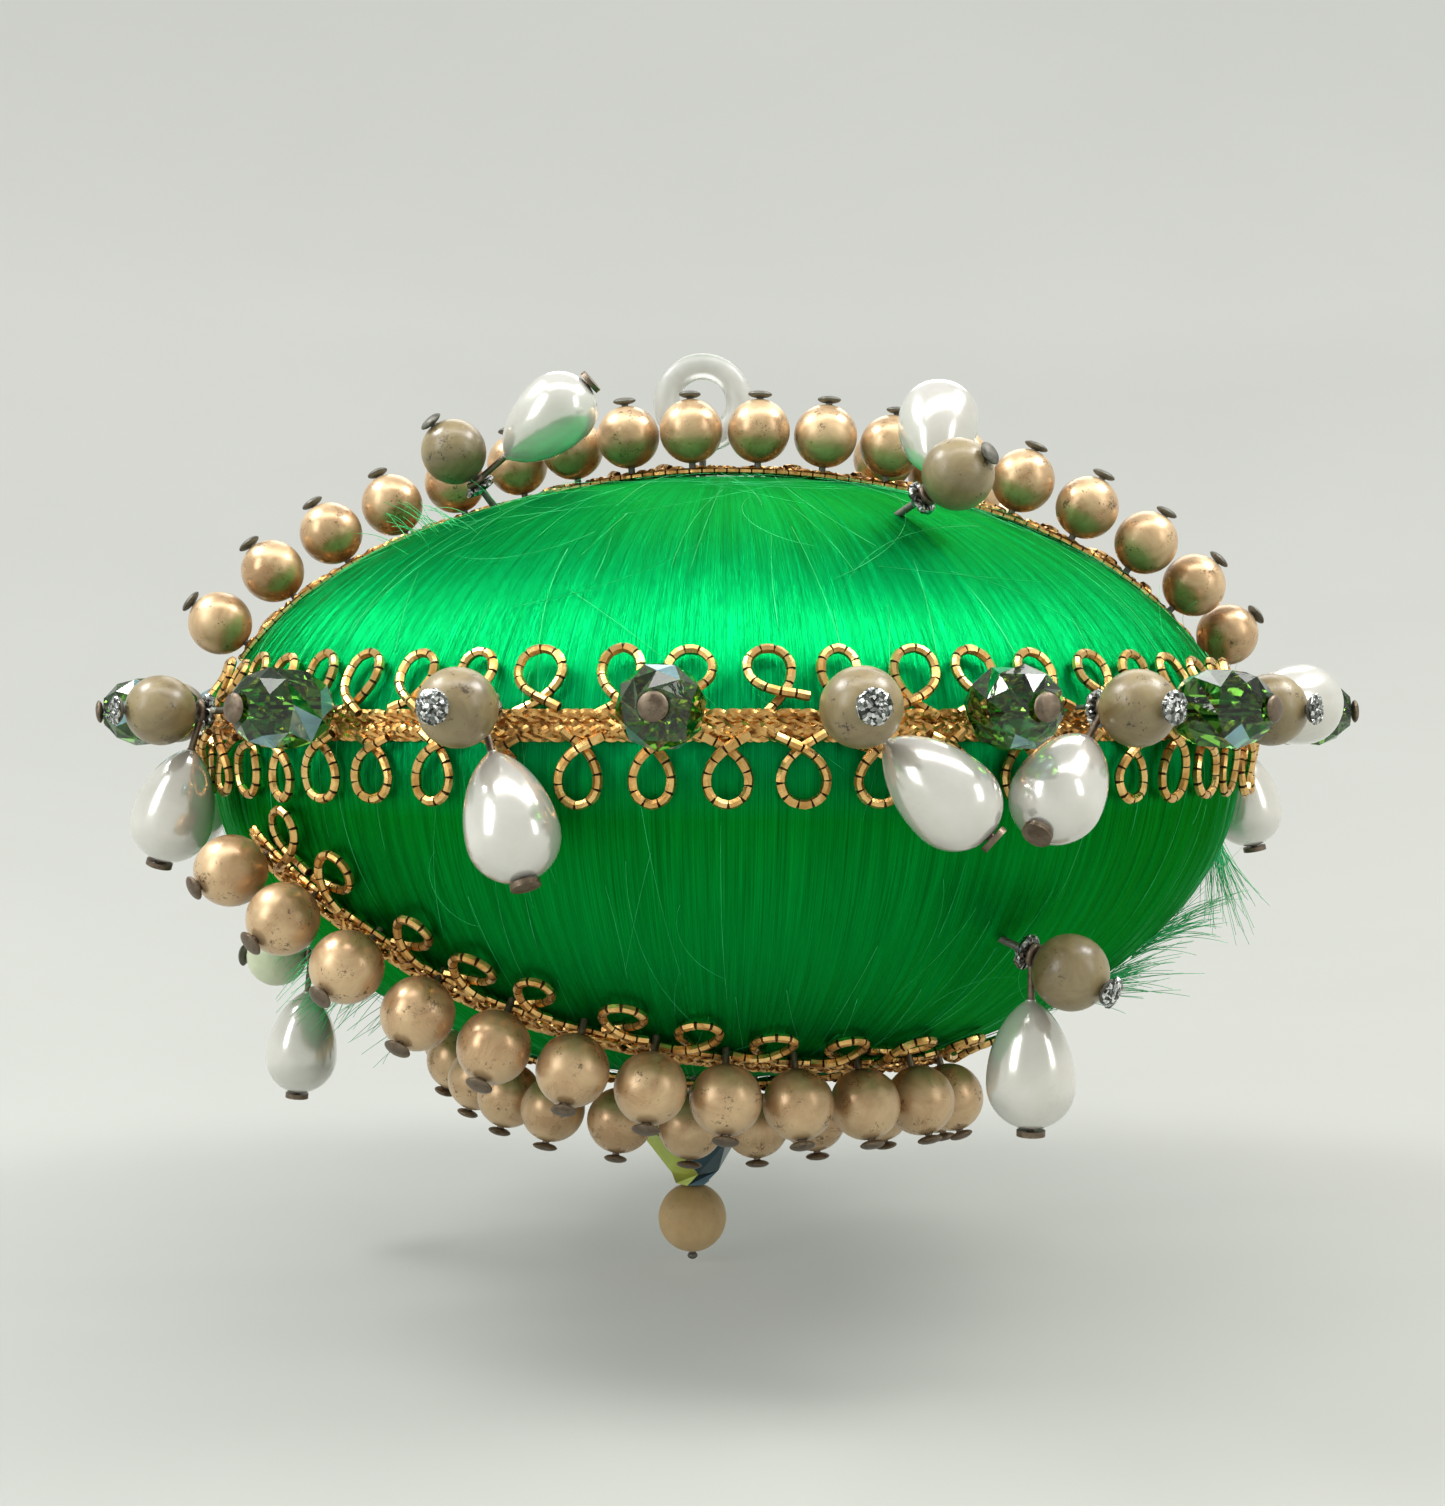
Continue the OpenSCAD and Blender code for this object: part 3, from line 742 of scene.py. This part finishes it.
def plait(heap, path, ups, period, rough, loop=False):
    """Lays the strands along a path. rough makes them uneven."""
    count = len(path)
    step = np.linalg.norm(path[1] - path[0])
    turns = max(round(count * step / period), 1)
    ahead = np.gradient(path, axis=0)
    if loop:
        ahead = np.roll(path, -1, 0) - np.roll(path, 1, 0)
    side = unit(np.cross(ahead, ups))
    way = np.arange(count) / (count if loop else count - 1)
    for k in range(STRANDS):
        swing = 2 * math.pi * (turns * way + k / STRANDS)
        if rough:
            marks = np.linspace(0, 1, turns * 3)
            swing = swing + rough * np.interp(way, marks, rng.normal(0, 0.5, len(marks)))
        across = (braid_w / 2 - STRAND_W) * 2 / math.pi * np.arcsin(np.sin(swing) * 0.985)
        height = 0.17 * MM * np.sin(3 * swing) + rough * 0.10 * MM * np.sin(swing * 5.3 + k)
        line = path + side * across[:, None] + ups * height[:, None]
        lean = 0.5 * np.cos(swing * 3)[:, None]
        heap.add(tube(line, unit(ups + side * lean), STRAND_W, STRAND_T, sides=6, loop=loop))


def wrapped_cord(heap, path, ups, radius, segment, foil=0, gap=1):
    """A cord wrapped in foil: straight stretches with a narrow dark dip between them."""
    length = np.concatenate([[0], np.cumsum(np.linalg.norm(np.diff(path, axis=0), axis=1))])
    count = max(int(round(length[-1] / segment)), 2)
    dip = 0.07
    marks = np.array([k + f for k in range(count) for f in (0.0, dip, 0.5, 1 - dip)] + [count]) / count
    shape = np.array([0.78, 1.0, 1.03, 1.0] * count + [0.78])
    shape = shape * np.repeat(rng.uniform(0.93, 1.05, count + 1), 4)[:len(shape)]
    at = np.stack([np.interp(marks * length[-1], length, path[:, a]) for a in range(3)], 1)
    up = np.stack([np.interp(marks * length[-1], length, ups[:, a]) for a in range(3)], 1)
    kinds = [gap, foil, foil, gap] * count
    heap.add(tube(at, up, radius * shape, sides=7), kind=np.array(kinds))


def edge_cords(heap, path, ups):
    side = unit(np.cross(np.gradient(path, axis=0), ups))
    for way in (-1, 1):
        line = path + side * way * (braid_w / 2 - 0.12 * MM) - ups * 0.12 * MM
        wrapped_cord(heap, line[::6], ups[::6], 0.24 * MM, 0.9 * MM)


around = np.linspace(0, 2 * math.pi, 1500, endpoint=False)
band_path = np.stack([centre[0] + braid_out * np.sin(around), centre[1] - braid_out * np.cos(around),
                      np.full(len(around), band_mid_z)], 1)
band_ups = np.stack([np.sin(around), -np.cos(around), np.zeros(len(around))], 1)
heap = Heap()
plait(heap, band_path, band_ups, 7.6 * MM, 0.25, loop=True)
plait(heap, band_path - band_ups * 0.22 * MM, band_ups, 5.2 * MM, 0.15, loop=True)
heap.piece("band_plait", [gold_braid], "ornament", ["band_braid"], sharp=35)

for name, rows in garland_rows.items():
    heap = Heap()
    for row in rows:
        path = garland_path(row)
        ups = outward(path)
        lift = 0.1 * MM + braid_t / 2
        plait(heap, path + ups * lift, ups, 6.0 * MM, 0.9)
        edge_cords(heap, path + ups * lift, ups)
    heap.piece(name + "_plait", [gold_braid, gap_thread], "ornament", [name + "_braid"],
               sharp=35)

# %% [markdown]
# ## Picot loops
# Each loop is one turn of the wrapped cord: it leaves the braid, goes round, crosses over itself and runs
# back in. The frame marks each loop's middle and the plane it lies in. The nearest part of the braid
# tells which way its foot points. Hand-sewn loops are never alike, so each gets its own stretch and lean.

# %% Loops
LOOP_SHAPE = np.array([(-1.5, -2.55, -0.2), (-0.8, -2.2, -0.2), (0.25, -1.62, -0.18), (0.98, -0.92, -0.05),
                       (1.33, 0.0, 0.0), (0.98, 0.95, 0.0), (0.0, 1.35, 0.0), (-0.98, 0.95, 0.05),
                       (-1.33, 0.0, 0.12), (-0.98, -0.92, 0.28), (-0.25, -1.62, 0.42), (0.8, -2.2, 0.36),
                       (1.5, -2.55, 0.2)])
loop_box = loose_parts("band_picots")[0]
loop_r = np.ptp(loop_box, axis=0).max() / 2
cord_r = 0.29 * MM


def add_loops(heap, node, braid_node, roughness):
    braid_points = node_points(braid_node)
    for part in loose_parts(node):
        middle = box_middle(part)
        up = outward(middle)
        far = np.linalg.norm(braid_points - middle, axis=1)
        near = braid_points[far < far.min() + 1.0 * MM].mean(0)
        foot = near - middle
        foot = unit(foot - up * (foot @ up))
        lean = rng.normal(0, roughness)
        side = np.cross(up, foot)
        foot, side = (foot * math.cos(lean) + side * math.sin(lean),
                      side * math.cos(lean) - foot * math.sin(lean))
        stretch = np.array([rng.uniform(0.80, 1.02), rng.uniform(0.96, 1.10), 1.0])
        flip = rng.choice([-1, 1])
        shape = LOOP_SHAPE * stretch * np.array([flip, 1, 1]) * MM * (loop_r / (1.65 * MM))
        shape[:, 2] += np.clip(shape[:, 1], 0, 2 * MM) * rng.uniform(0.0, 0.22)
        middle = middle + side * rng.normal(0, 0.2) * MM
        path = middle + side * shape[:, :1] - foot * shape[:, 1:2] + up * shape[:, 2:]
        path = resample(path, 0.15 * MM)
        wrapped_cord(heap, path, np.broadcast_to(up, path.shape), cord_r, 0.86 * MM)


for node, braid_node, roughness in (("band_picots", "band_braid", 0.10),
                                    ("top_garland_picots", "top_garland_braid", 0.2),
                                    ("bottom_garland_picots", "bottom_garland_braid", 0.2)):
    heap = Heap()
    add_loops(heap, node, braid_node, roughness)
    heap.piece(node.replace("picots", "loops"), [gold_foil, gap_thread], "ornament", [node],
               sharp=30)

# %% [markdown]
# ## Bead finishes
# The garland pearls have a worn pearl coat: a soft wide highlight, a painted warm brown shade toward the
# thread, and flecks where the coat has chipped. The round beads of the band are frosted, greyer and more
# speckled, and a little light passes through both. The teardrops have a glossy white pearl coat. Every bead
# finish paints this darker, warmer shade toward one end of the shape.

# %% Pearl and bead finishes
def bead_finish(name, pale, painted_shade_tone, fleck, fleck_amount, fleck_scale, relief=0.25, **fixed):
    material, tree, shader = finish(name, **fixed)
    # Painted shade: the colour runs from the darker shade tone at the start of the outline (the side toward
    # the ball on a round bead) to the pale tone at the far end, mixed with a cloudy tone.
    where = put(tree, "UVMap", uv_map="place")
    split = put(tree, "SeparateXYZ")
    join(tree, where, "UV", split, 0)
    cloud = place_group(tree, wear, Scale=420.0)
    uneven = put(tree, "Math", operation="MULTIPLY_ADD")
    uneven.inputs[1].default_value = 0.55
    join(tree, cloud, "Mask", uneven, 0)
    join(tree, split, "Y", uneven, 2)
    height = put(tree, "MapRange", From_Min=0.25, From_Max=1.1)
    join(tree, uneven, 0, height, "Value")
    body = mix(tree, height, "Result", painted_shade_tone, pale)
    spots = place_group(tree, flecks, Scale=fleck_scale, Amount=fleck_amount)
    paint(tree, mix(tree, spots, "Mask", body, fleck), shader)
    vary_roughness(tree, cloud, shader, fixed["Roughness"], fixed["Roughness"] + relief)
    bump(tree, cloud, "Height", shader, relief, 0.12 * MM)
    return material


champagne_pearl = bead_finish("champagne_pearl", (0.66, 0.47, 0.27), (0.31, 0.15, 0.055),
                              (0.10, 0.055, 0.025), 0.8, 5600.0, Roughness=0.24,
                              Subsurface_Weight=0.1, Subsurface_Scale=0.6 * MM,
                              Subsurface_Radius=(1.0, 0.55, 0.25), Metallic=0.5,
                              Coat_Weight=0.35, Coat_Roughness=0.22)
olive_bead = bead_finish("olive_bead", (0.28, 0.22, 0.11), (0.10, 0.065, 0.025), (0.05, 0.03, 0.015),
                         0.95, 5200.0, Roughness=0.32, Subsurface_Weight=0.35, Subsurface_Scale=0.9 * MM,
                         Subsurface_Radius=(1.0, 0.8, 0.4), Coat_Weight=0.35, Coat_Roughness=0.22)
pale_bead = bead_finish("pale_bead", (0.62, 0.66, 0.48), (0.46, 0.50, 0.34), (0.2, 0.18, 0.1),
                        0.3, 3000.0, Roughness=0.3, Subsurface_Weight=0.5, Subsurface_Scale=1.2 * MM,
                        Subsurface_Radius=(0.9, 1.0, 0.7))
tan_bead = bead_finish("tan_bead", (0.55, 0.39, 0.20), (0.40, 0.26, 0.11), (0.16, 0.09, 0.03),
                       0.5, 3200.0, Roughness=0.5, Subsurface_Weight=0.15, Subsurface_Scale=0.8 * MM)
white_pearl = bead_finish("white_pearl", (0.70, 0.685, 0.64), (0.62, 0.60, 0.54), (0.30, 0.24, 0.16),
                          0.06, 2400.0, relief=0.04, Roughness=0.17, Metallic=0.45, Coat_Weight=0.8,
                          Coat_Roughness=0.10, Specular_IOR_Level=0.7)
print("bead finishes made")

# %% [markdown]
# ## Pearls, beads and their pins
# A pearl is turned round its pin with the pin's hole through it. The pin's own direction says which way it
# stands. Old moulded pearls are slightly out of round, so each is squeezed by a percent or two.

# %% Places of the pins
def pins_of(node):
    """Each pin as (outer end, tip, direction outward)."""
    found = []
    for part in loose_parts(node):
        middle = part.mean(0)
        along = np.linalg.svd(part - middle, full_matrices=False)[2][0]
        if along @ (middle - centre) < 0:
            along = -along
        reach = (part - middle) @ along
        found.append((middle + along * reach.max(), middle + along * reach.min(), along))
    return found


PIN_NODES = ("top_garland_pins", "bottom_garland_pins", "band_crystal_pins", "band_bead_pins",
             "shoulder_pins", "finial_pin")
all_pins = {node: pins_of(node) for node in PIN_NODES}


def off_line(place, pin):
    """How far a place is from the line that a pin lies on."""
    d = place - pin[1]
    return np.linalg.norm(d - pin[2] * (d @ pin[2]))


def facing(middle, node):
    """The direction of the pin that runs through a place."""
    return min(all_pins[node], key=lambda pin: off_line(middle, pin))[2]


print({node: len(pins) for node, pins in all_pins.items()})


# %% Turned beads
BEAD_HOLE, WIDE_HOLE, DROP_HOLE = 0.34 * MM, 0.36 * MM, 0.30 * MM  # radii round a pin or a wire


def bead_profile(radius, hole, steps=22):
    """A ball with a hole down its axis, as a closed outline."""
    end = math.acos(hole / radius)
    arc = [(radius * math.cos(t), radius * math.sin(t)) for t in np.linspace(-end, end, steps)]
    return arc + [(hole, z) for z in np.linspace(arc[-1][1], arc[0][1], 4)[1:-1]]


def beads_piece(name, node, pins, material, squeeze=0.025, other=None):
    heap = Heap()
    for k, part in enumerate(loose_parts(node)):
        middle = box_middle(part)
        radius = np.linalg.norm(part - middle, axis=1).max()
        points, faces, shape = turned(bead_profile(radius, BEAD_HOLE), 40, loop=True)
        points = points * (1 - rng.uniform(0, squeeze, 3))
        kind = 1 if other is not None and k == other[0] else 0
        heap.add((points, faces, shape), kind, stand(middle, facing(middle, pins), rng.uniform(0, TURN)))
    materials = [material] + ([other[1]] if other is not None else [])
    return heap.piece(name, materials, "ornament", [node], sharp=60)


for place in ("top", "bottom"):
    beads_piece(place + "_pearl_row", place + "_garland_pearls", place + "_garland_pins", champagne_pearl)
beads_piece("band_round_beads", "band_beads", "band_bead_pins", olive_bead)
beads_piece("shoulder_round_beads", "shoulder_beads", "shoulder_pins", olive_bead,
            other=(3, pale_bead))
beads_piece("finial_round_bead", "finial_bead", "finial_pin", tan_bead, squeeze=0.01)

# %% [markdown]
# ## Pins
# The pins are short nails with lens-shaped heads of dull grey metal, each head a little bent and tarnished.
# The finish is a dark metal with a cloudy film of paler oxide, and flecks of the brown base.

# %% Dull metal finish
def dull_metal(name, dark, pale, rough, metallic):
    material, tree, shader = finish(name, Metallic=metallic)
    cloud = place_group(tree, wear, Scale=1400.0)
    body = mix(tree, cloud, "Mask", dark, pale)
    spots = place_group(tree, flecks, Scale=5000.0, Amount=0.7)
    paint(tree, mix(tree, spots, "Mask", body, (0.07, 0.04, 0.025)), shader)
    vary_roughness(tree, cloud, shader, rough, rough + 0.3)
    bump(tree, cloud, "Height", shader, 0.5, 0.10 * MM)
    return material


gunmetal = dull_metal("gunmetal", (0.085, 0.080, 0.065), (0.17, 0.165, 0.14), 0.35, 0.55)
brown_metal = dull_metal("brown_metal", (0.11, 0.078, 0.052), (0.23, 0.18, 0.13), 0.30, 0.75)

# %% Nails with lens heads
HEAD_R, HEAD_T = 0.88 * MM, 0.56 * MM


def lens_profile(radius, thick):
    """Half of a lens, from the axis below to the axis above, with its underside at height 0."""
    share = np.array([0.03, 0.35, 0.65, 0.87, 0.97, 1.0, 0.97, 0.87, 0.65, 0.35, 0.03])
    height = np.array([0.0, 0.03, 0.12, 0.27, 0.40, 0.50, 0.61, 0.74, 0.89, 0.98, 1.0])
    return np.stack([share * radius, height * thick], 1)


def pins_piece(name, node, material):
    heap = Heap()
    for top, tip, along in all_pins[node]:
        under = top - along * 0.35 * MM
        size = rng.uniform(0.93, 1.04) * (0.45 if node == "finial_pin" else 1)
        points, faces, shape = turned(lens_profile(HEAD_R * size, HEAD_T), 26)
        points = points * np.array([1, rng.uniform(0.93, 1.0), 1])
        spin, tilt = rng.uniform(0, TURN), rng.uniform(-0.10, 0.10)
        heap.add((points, faces, shape), 0, stand(under, along, spin, tilt))
        length = np.linalg.norm(under - tip)
        shank = [(0.03 * MM, 0.0), (0.23 * MM, 1.1 * MM), (0.25 * MM, 1.6 * MM),
                 (0.25 * MM, length + 0.12 * MM)]
        heap.add(turned(shank, 12), 0, stand(tip, along))
    return heap.piece(name, [material], "ornament", [node], sharp=45)


for node in PIN_NODES:
    pins_piece(node.replace("pins", "nails").replace("finial_pin", "finial_nail"), node,
               brown_metal if node in ("bottom_garland_pins", "band_crystal_pins") else gunmetal)

# %% [markdown]
# ## Glitter
# Each round bead sits on a little ring, and many under a cap, both crusted with silver glitter. Glitter is
# tiny mirrors at all angles. A coarse mesh with every point pushed about and no smoothing does just that,
# and each flat face catches the light on its own. The finish varies the brightness from chip to chip.

# %% Glitter finish and pieces
def glitter_finish():
    material, tree, shader = finish("silver_glitter", Metallic=0.95, Roughness=0.24)
    where = put(tree, "TexCoord")
    chips = put(tree, "TexVoronoi", Scale=5200.0)
    join(tree, where, "Object", chips, "Vector")
    split = put(tree, "SeparateXYZ")
    join(tree, chips, "Color", split, 0)
    tone = ramp(tree, (0.2, (0.05, 0.055, 0.05)), (0.6, (0.26, 0.275, 0.265)), (0.9, (0.80, 0.81, 0.80)))
    join(tree, split, "X", tone, "Fac")
    join(tree, tone, "Color", shader, "Base Color")
    bump(tree, split, "Y", shader, 0.8, 0.12 * MM)
    return material


silver_glitter = glitter_finish()


def crusted(points, amount):
    return points + rng.normal(0, amount, points.shape)


def glitter_piece(name, node):
    heap = Heap()
    bead_pins = all_pins["band_bead_pins"] + all_pins["shoulder_pins"]
    for part in loose_parts(node):
        middle = box_middle(part)
        pin = min(bead_pins, key=lambda p: off_line(middle, p))
        reach, off = along_and_off(part - middle, pin[2])
        low, thick, radius = reach.min(), np.ptp(reach), off.max()
        if node == "glitter_rings":
            cross = [(WIDE_HOLE, 0), (0.55 * radius, -0.05 * thick), (0.92 * radius, 0.1 * thick),
                     (radius, 0.5 * thick), (0.92 * radius, 0.9 * thick), (0.55 * radius, 1.05 * thick),
                     (WIDE_HOLE, thick)]
            shape = turned(cross, 30, loop=True)
        else:
            dome = [(0.03 * MM, 0.0), (0.6 * radius, 0.0), (0.98 * radius, 0.02 * MM),
                    (1.02 * radius, 0.35 * thick), (0.9 * radius, 0.8 * thick),
                    (0.66 * radius, 1.15 * thick), (0.36 * radius, 1.35 * thick), (0.04 * MM, 1.4 * thick)]
            shape = turned(dome, 22)
        base = stand(middle + pin[2] * low, pin[2], rng.uniform(0, TURN))
        heap.add(shape, 0, lambda points: crusted(base(points), 0.045 * MM))
    return heap.piece(name, [silver_glitter], "ornament", [node], smooth=False)


glitter_piece("glitter_collars", "glitter_rings")
glitter_piece("glitter_crowns", "glitter_caps")

# %% [markdown]
# ## Cut crystals
# A crystal is pressed and fire-polished glass: slanted facets at both ends meet a belt of long ones. Flat
# faces need no smoothing. The glass is green all through. On some facets a pale blue metallic finish stands
# for a thin coat and also paints in the bright reflection of a window, so each facet carries one of two
# finishes.
# On the finial's dark crystal two facets carry a painted yellow-green reflection.

# %% Crystal finishes and shape
def glass_finish(name, colour, Transmission_Weight=1.0, **fixed):
    material, tree, shader = finish(name, Transmission_Weight=Transmission_Weight, **fixed)
    cloud = place_group(tree, wear, Scale=260.0)
    darker = tuple(c * 0.55 for c in colour)
    paint(tree, mix(tree, cloud, "Mask", darker, colour), shader)
    bump(tree, cloud, "Height", shader, 0.08, 0.2 * MM)
    return material


green_glass = glass_finish("green_glass", (0.08, 0.23, 0.025), IOR=1.56, Roughness=0.02)
# Painted reflection: partly a thin coat, partly the pale blue reflection of a bright window painted onto
# fixed facets.
coat_and_reflection_glass = glass_finish("coat_and_reflection_glass", (0.36, 0.62, 0.70), Transmission_Weight=0.45, IOR=1.56,
                            Roughness=0.12, Metallic=0.55)
dark_glass = glass_finish("dark_glass", (0.06, 0.13, 0.17), Transmission_Weight=0.4, IOR=1.6, Roughness=0.08,
                          Metallic=0.6)
# Painted reflection: a bright yellow-green finish for two fixed facets of the finial crystal.
painted_reflection_glass = glass_finish("painted_reflection_glass", (0.72, 0.86, 0.16), Transmission_Weight=0.3, IOR=1.6, Roughness=0.25,
                         Metallic=0.4)


def cut_crystal(radius, length, sides, rows, hole):
    """Rings of points, every second one turned half a facet, and a hole down the middle."""
    outline = [(share * radius, at * length) for share, at in rows]
    outline += [(hole, rows[-1][1] * length), (hole, rows[0][1] * length)]
    twist = [(k % 2) * math.pi / sides for k in range(len(rows))] + [0, 0]
    return turned(outline, sides, loop=True, twist=twist)


CRYSTAL_ROWS = ((0.42, -0.5), (0.80, -0.36), (1.0, -0.17), (1.0, 0.17), (0.80, 0.36), (0.42, 0.5))


def crystals_piece(name, node, pins, rows, sides, materials, second_finish, turn=None):
    """coated(row, side) says which of the materials a facet has."""
    heap = Heap()
    for part in loose_parts(node):
        middle = box_middle(part)
        along = facing(middle, pins)
        reach, off = along_and_off(part - middle, along)
        middle = middle + along * (reach.max() + reach.min()) / 2
        shape = cut_crystal(off.max(), np.ptp(reach), sides, rows, WIDE_HOLE)
        kinds = np.array([second_finish(row, side) for row in range(len(rows) + 2) for side in range(sides)])
        heap.add(shape, kinds, stand(middle, along, rng.uniform(0, TURN) if turn is None else turn))
    return heap.piece(name, materials, "ornament", [node], smooth=False)


crystals_piece("band_cut_crystals", "band_crystals", "band_crystal_pins", CRYSTAL_ROWS, 9,
               [green_glass, coat_and_reflection_glass],
               lambda row, side: int(row in (1, 2, 3) and (side + row) % 4 == 0))
FINIAL_ROWS = ((0.30, -0.5), (0.72, -0.2), (1.0, 0.02), (1.0, 0.08), (0.55, 0.38), (0.34, 0.5))
# The finial's facets at sides 1 and 4 get the painted yellow-green reflection.
crystals_piece("finial_cut_crystal", "finial_crystal", "finial_pin", FINIAL_ROWS, 6,
               [dark_glass, painted_reflection_glass], lambda row, side: int(side in (1, 4)), turn=0.3)

# %% [markdown]
# ## Hanging teardrops
# Sixteen teardrops hang by a wire eye round the pin of a bead, and each swings on its own. The frame's
# pearl gives the line of the drop, and the wire's flat head closes the wide end. The pearl is turned along
# that line, with faint flutes that the mould left. Each pearl rides on its own body, one for each drop.

# %% Teardrops and wires
PLUMP = 0.68  # 0.5 would make the narrow end half an ellipse, 1.0 a sharper cone


def drop_profile(radius, length, hole):
    """A teardrop from its tip at height 0 to its wide end, which is half a ball."""
    belly = length - radius
    narrow = [(max(radius * (1 - u * u)**PLUMP, hole), belly * (1 - u))
              for u in np.sin(np.linspace(math.pi / 2 - 0.06, 0, 22))]
    wide = [(radius * math.cos(a), belly + radius * math.sin(a))
            for a in np.linspace(0, math.acos(hole / radius), 16)[1:]]
    walls = [(hole, z) for z in np.linspace(wide[-1][1], narrow[0][1], 6)[1:-1]]
    return narrow + wide + walls


for k in range(1, DROP_COUNT + 1):
    tag = f"{k:02d}"
    pearl = node_points("drop_pearl_" + tag)
    along = np.linalg.svd(pearl - pearl.mean(0), full_matrices=False)[2][0]
    reach, around = along_and_off(pearl - pearl.mean(0), along)
    if (reach[around > 0.8 * around.max()]).mean() < (reach.max() + reach.min()) / 2:
        along, reach = -along, -reach
    tip = pearl.mean(0) + along * reach.min()
    length = np.ptp(reach)
    points, faces, shape = turned(drop_profile(around.max(), length, DROP_HOLE), 48, loop=True)
    turn = np.arctan2(points[:, 1], points[:, 0])
    flute = 1 + 0.006 * np.sin(5 * turn + k) + 0.004 * np.sin(3 * turn + points[:, 2] / (2 * MM))
    points[:, :2] *= flute[:, None] * 0.992
    heap = Heap()
    heap.add((points, faces, shape), 0, stand(tip, along, rng.uniform(0, TURN)))
    heap.piece("teardrop_" + tag, [white_pearl], "drop_" + tag, ["drop_pearl_" + tag],
               sharp=60)

# %% [markdown]
# ## Pieces that keep their frame shape
# The wires with their eyes, the staple and the foam core are right as they are. They keep their meshes
# and only get a finish. The foam hides inside, but a cut or a worn spot would show its cells.

# %% Finishes for the frame's own pieces
def foam_finish():
    material, tree, shader = finish("foam", Roughness=0.85, Subsurface_Weight=0.1, Subsurface_Scale=1 * MM)
    where = put(tree, "TexCoord")
    cells = put(tree, "TexVoronoi", feature="DISTANCE_TO_EDGE", Scale=420.0)
    join(tree, where, "Object", cells, "Vector")
    tone = ramp(tree, (0.0, (0.70, 0.70, 0.67)), (0.12, (0.90, 0.90, 0.87)))
    join(tree, cells, "Distance", tone, "Fac")
    join(tree, tone, "Color", shader, "Base Color")
    bump(tree, cells, "Distance", shader, 0.6, 0.3 * MM)
    return material


def dress(node, material):
    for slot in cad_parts[node].material_slots:
        slot.material = material


dress("foam_core", foam_finish())
dress("ring_staple", gunmetal)
for k in range(1, DROP_COUNT + 1):
    dress(f"drop_wire_{k:02d}", brown_metal)
print("frame pieces dressed")

# %% [markdown]
# ## Hanging ring
# The ring is moulded in frosted, milky plastic. It is turned as a full round ring with a faint seam round
# its outside where the two halves of the mould met, and light passes softly through it.

# %% Ring
def frosted_finish():
    material, tree, shader = finish("frosted_plastic", Roughness=0.36, IOR=1.42, Transmission_Weight=0.7)
    cloud = place_group(tree, wear, Scale=380.0)
    colour = mix(tree, cloud, "Mask", (0.66, 0.66, 0.62), (0.82, 0.82, 0.79))
    paint(tree, colour, shader)
    bump(tree, cloud, "Height", shader, 0.2, 0.1 * MM)
    return material


ring_low, ring_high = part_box("hanging_ring")
ring_outer = (ring_high.x - ring_low.x) / 2
wire_r = (ring_high.y - ring_low.y) / 2
ring_middle = np.array((ring_low + ring_high) / 2)
section = np.linspace(-math.pi, math.pi, 40, endpoint=False)
seam = 1 + 0.018 * np.exp(-(section / 0.07)**2)
ring_profile = np.stack([ring_outer - wire_r + wire_r * 0.982 * seam * np.cos(section),
                         wire_r * 0.985 * np.sin(section)], 1)
heap = Heap()
heap.add(turned(ring_profile, 120, loop=True), 0, stand(ring_middle, (0, 1, 0)))
heap.piece("frosted_hanging_ring", [frosted_finish()], "hanger", ["hanging_ring"], sharp=0)

# %% [markdown]
# ## Floor
# The floor is a wide pale disc that curves up into a round wall, so there is no edge or corner to see from
# any side. It stands just under the finial. Its paper glows a little, a painted light that is weaker on the
# flat floor than up the wall and lifts the shade under the ornament.

# %% Studio floor
def floor_finish():
    material, tree, shader = finish("glowing_pale_paper", Roughness=0.9, Specular_IOR_Level=0.1,
                                    Emission_Color=(0.98, 1.0, 0.95, 1))
    cloud = place_group(tree, wear, Scale=6.0)
    colour = mix(tree, cloud, "Mask", (0.26, 0.265, 0.245), (0.28, 0.285, 0.265))
    paint(tree, colour, shader)
    where = put(tree, "TexCoord")
    split = put(tree, "SeparateXYZ")
    join(tree, where, "Object", split, 0)
    # Painted light: the floor glows, weakest at floor level and stronger up the wall.
    lift = put(tree, "MapRange", From_Min=floor_z, From_Max=0.10, To_Min=0.22, To_Max=0.42)
    join(tree, split, "Z", lift, "Value")
    join(tree, lift, "Result", shader, "Emission Strength")
    return material


low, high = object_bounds()
FLOOR_R, CURVE_R, WALL_H, WALL_SIDES = 0.06, 0.60, 0.9, 96
floor_z = low.z - 0.3 * MM
outline = [(0.001, floor_z), (FLOOR_R * 0.5, floor_z), (FLOOR_R, floor_z)]
outline += [(FLOOR_R + CURVE_R * math.sin(t), floor_z + CURVE_R * (1 - math.cos(t)))
            for t in np.linspace(0.04, math.pi / 2, 36)]
outline += [(FLOOR_R + CURVE_R, floor_z + WALL_H)]
points, (faces, _), _ = turned(outline, WALL_SIDES)
mesh = bpy.data.meshes.new("studio_floor")
mesh.from_pydata(points.tolist(), [], faces.tolist() + [list(range(WALL_SIDES))[::-1]])
mesh.polygons.foreach_set("use_smooth", [True] * len(mesh.polygons))
mesh.materials.append(floor_finish())
floor = bpy.data.objects.new("studio_floor", mesh)
scene.collection.objects.link(floor)
print("floor %.1f mm below the ring's middle" % (-floor_z / MM))

# %% Update the scene
bpy.context.view_layer.update()
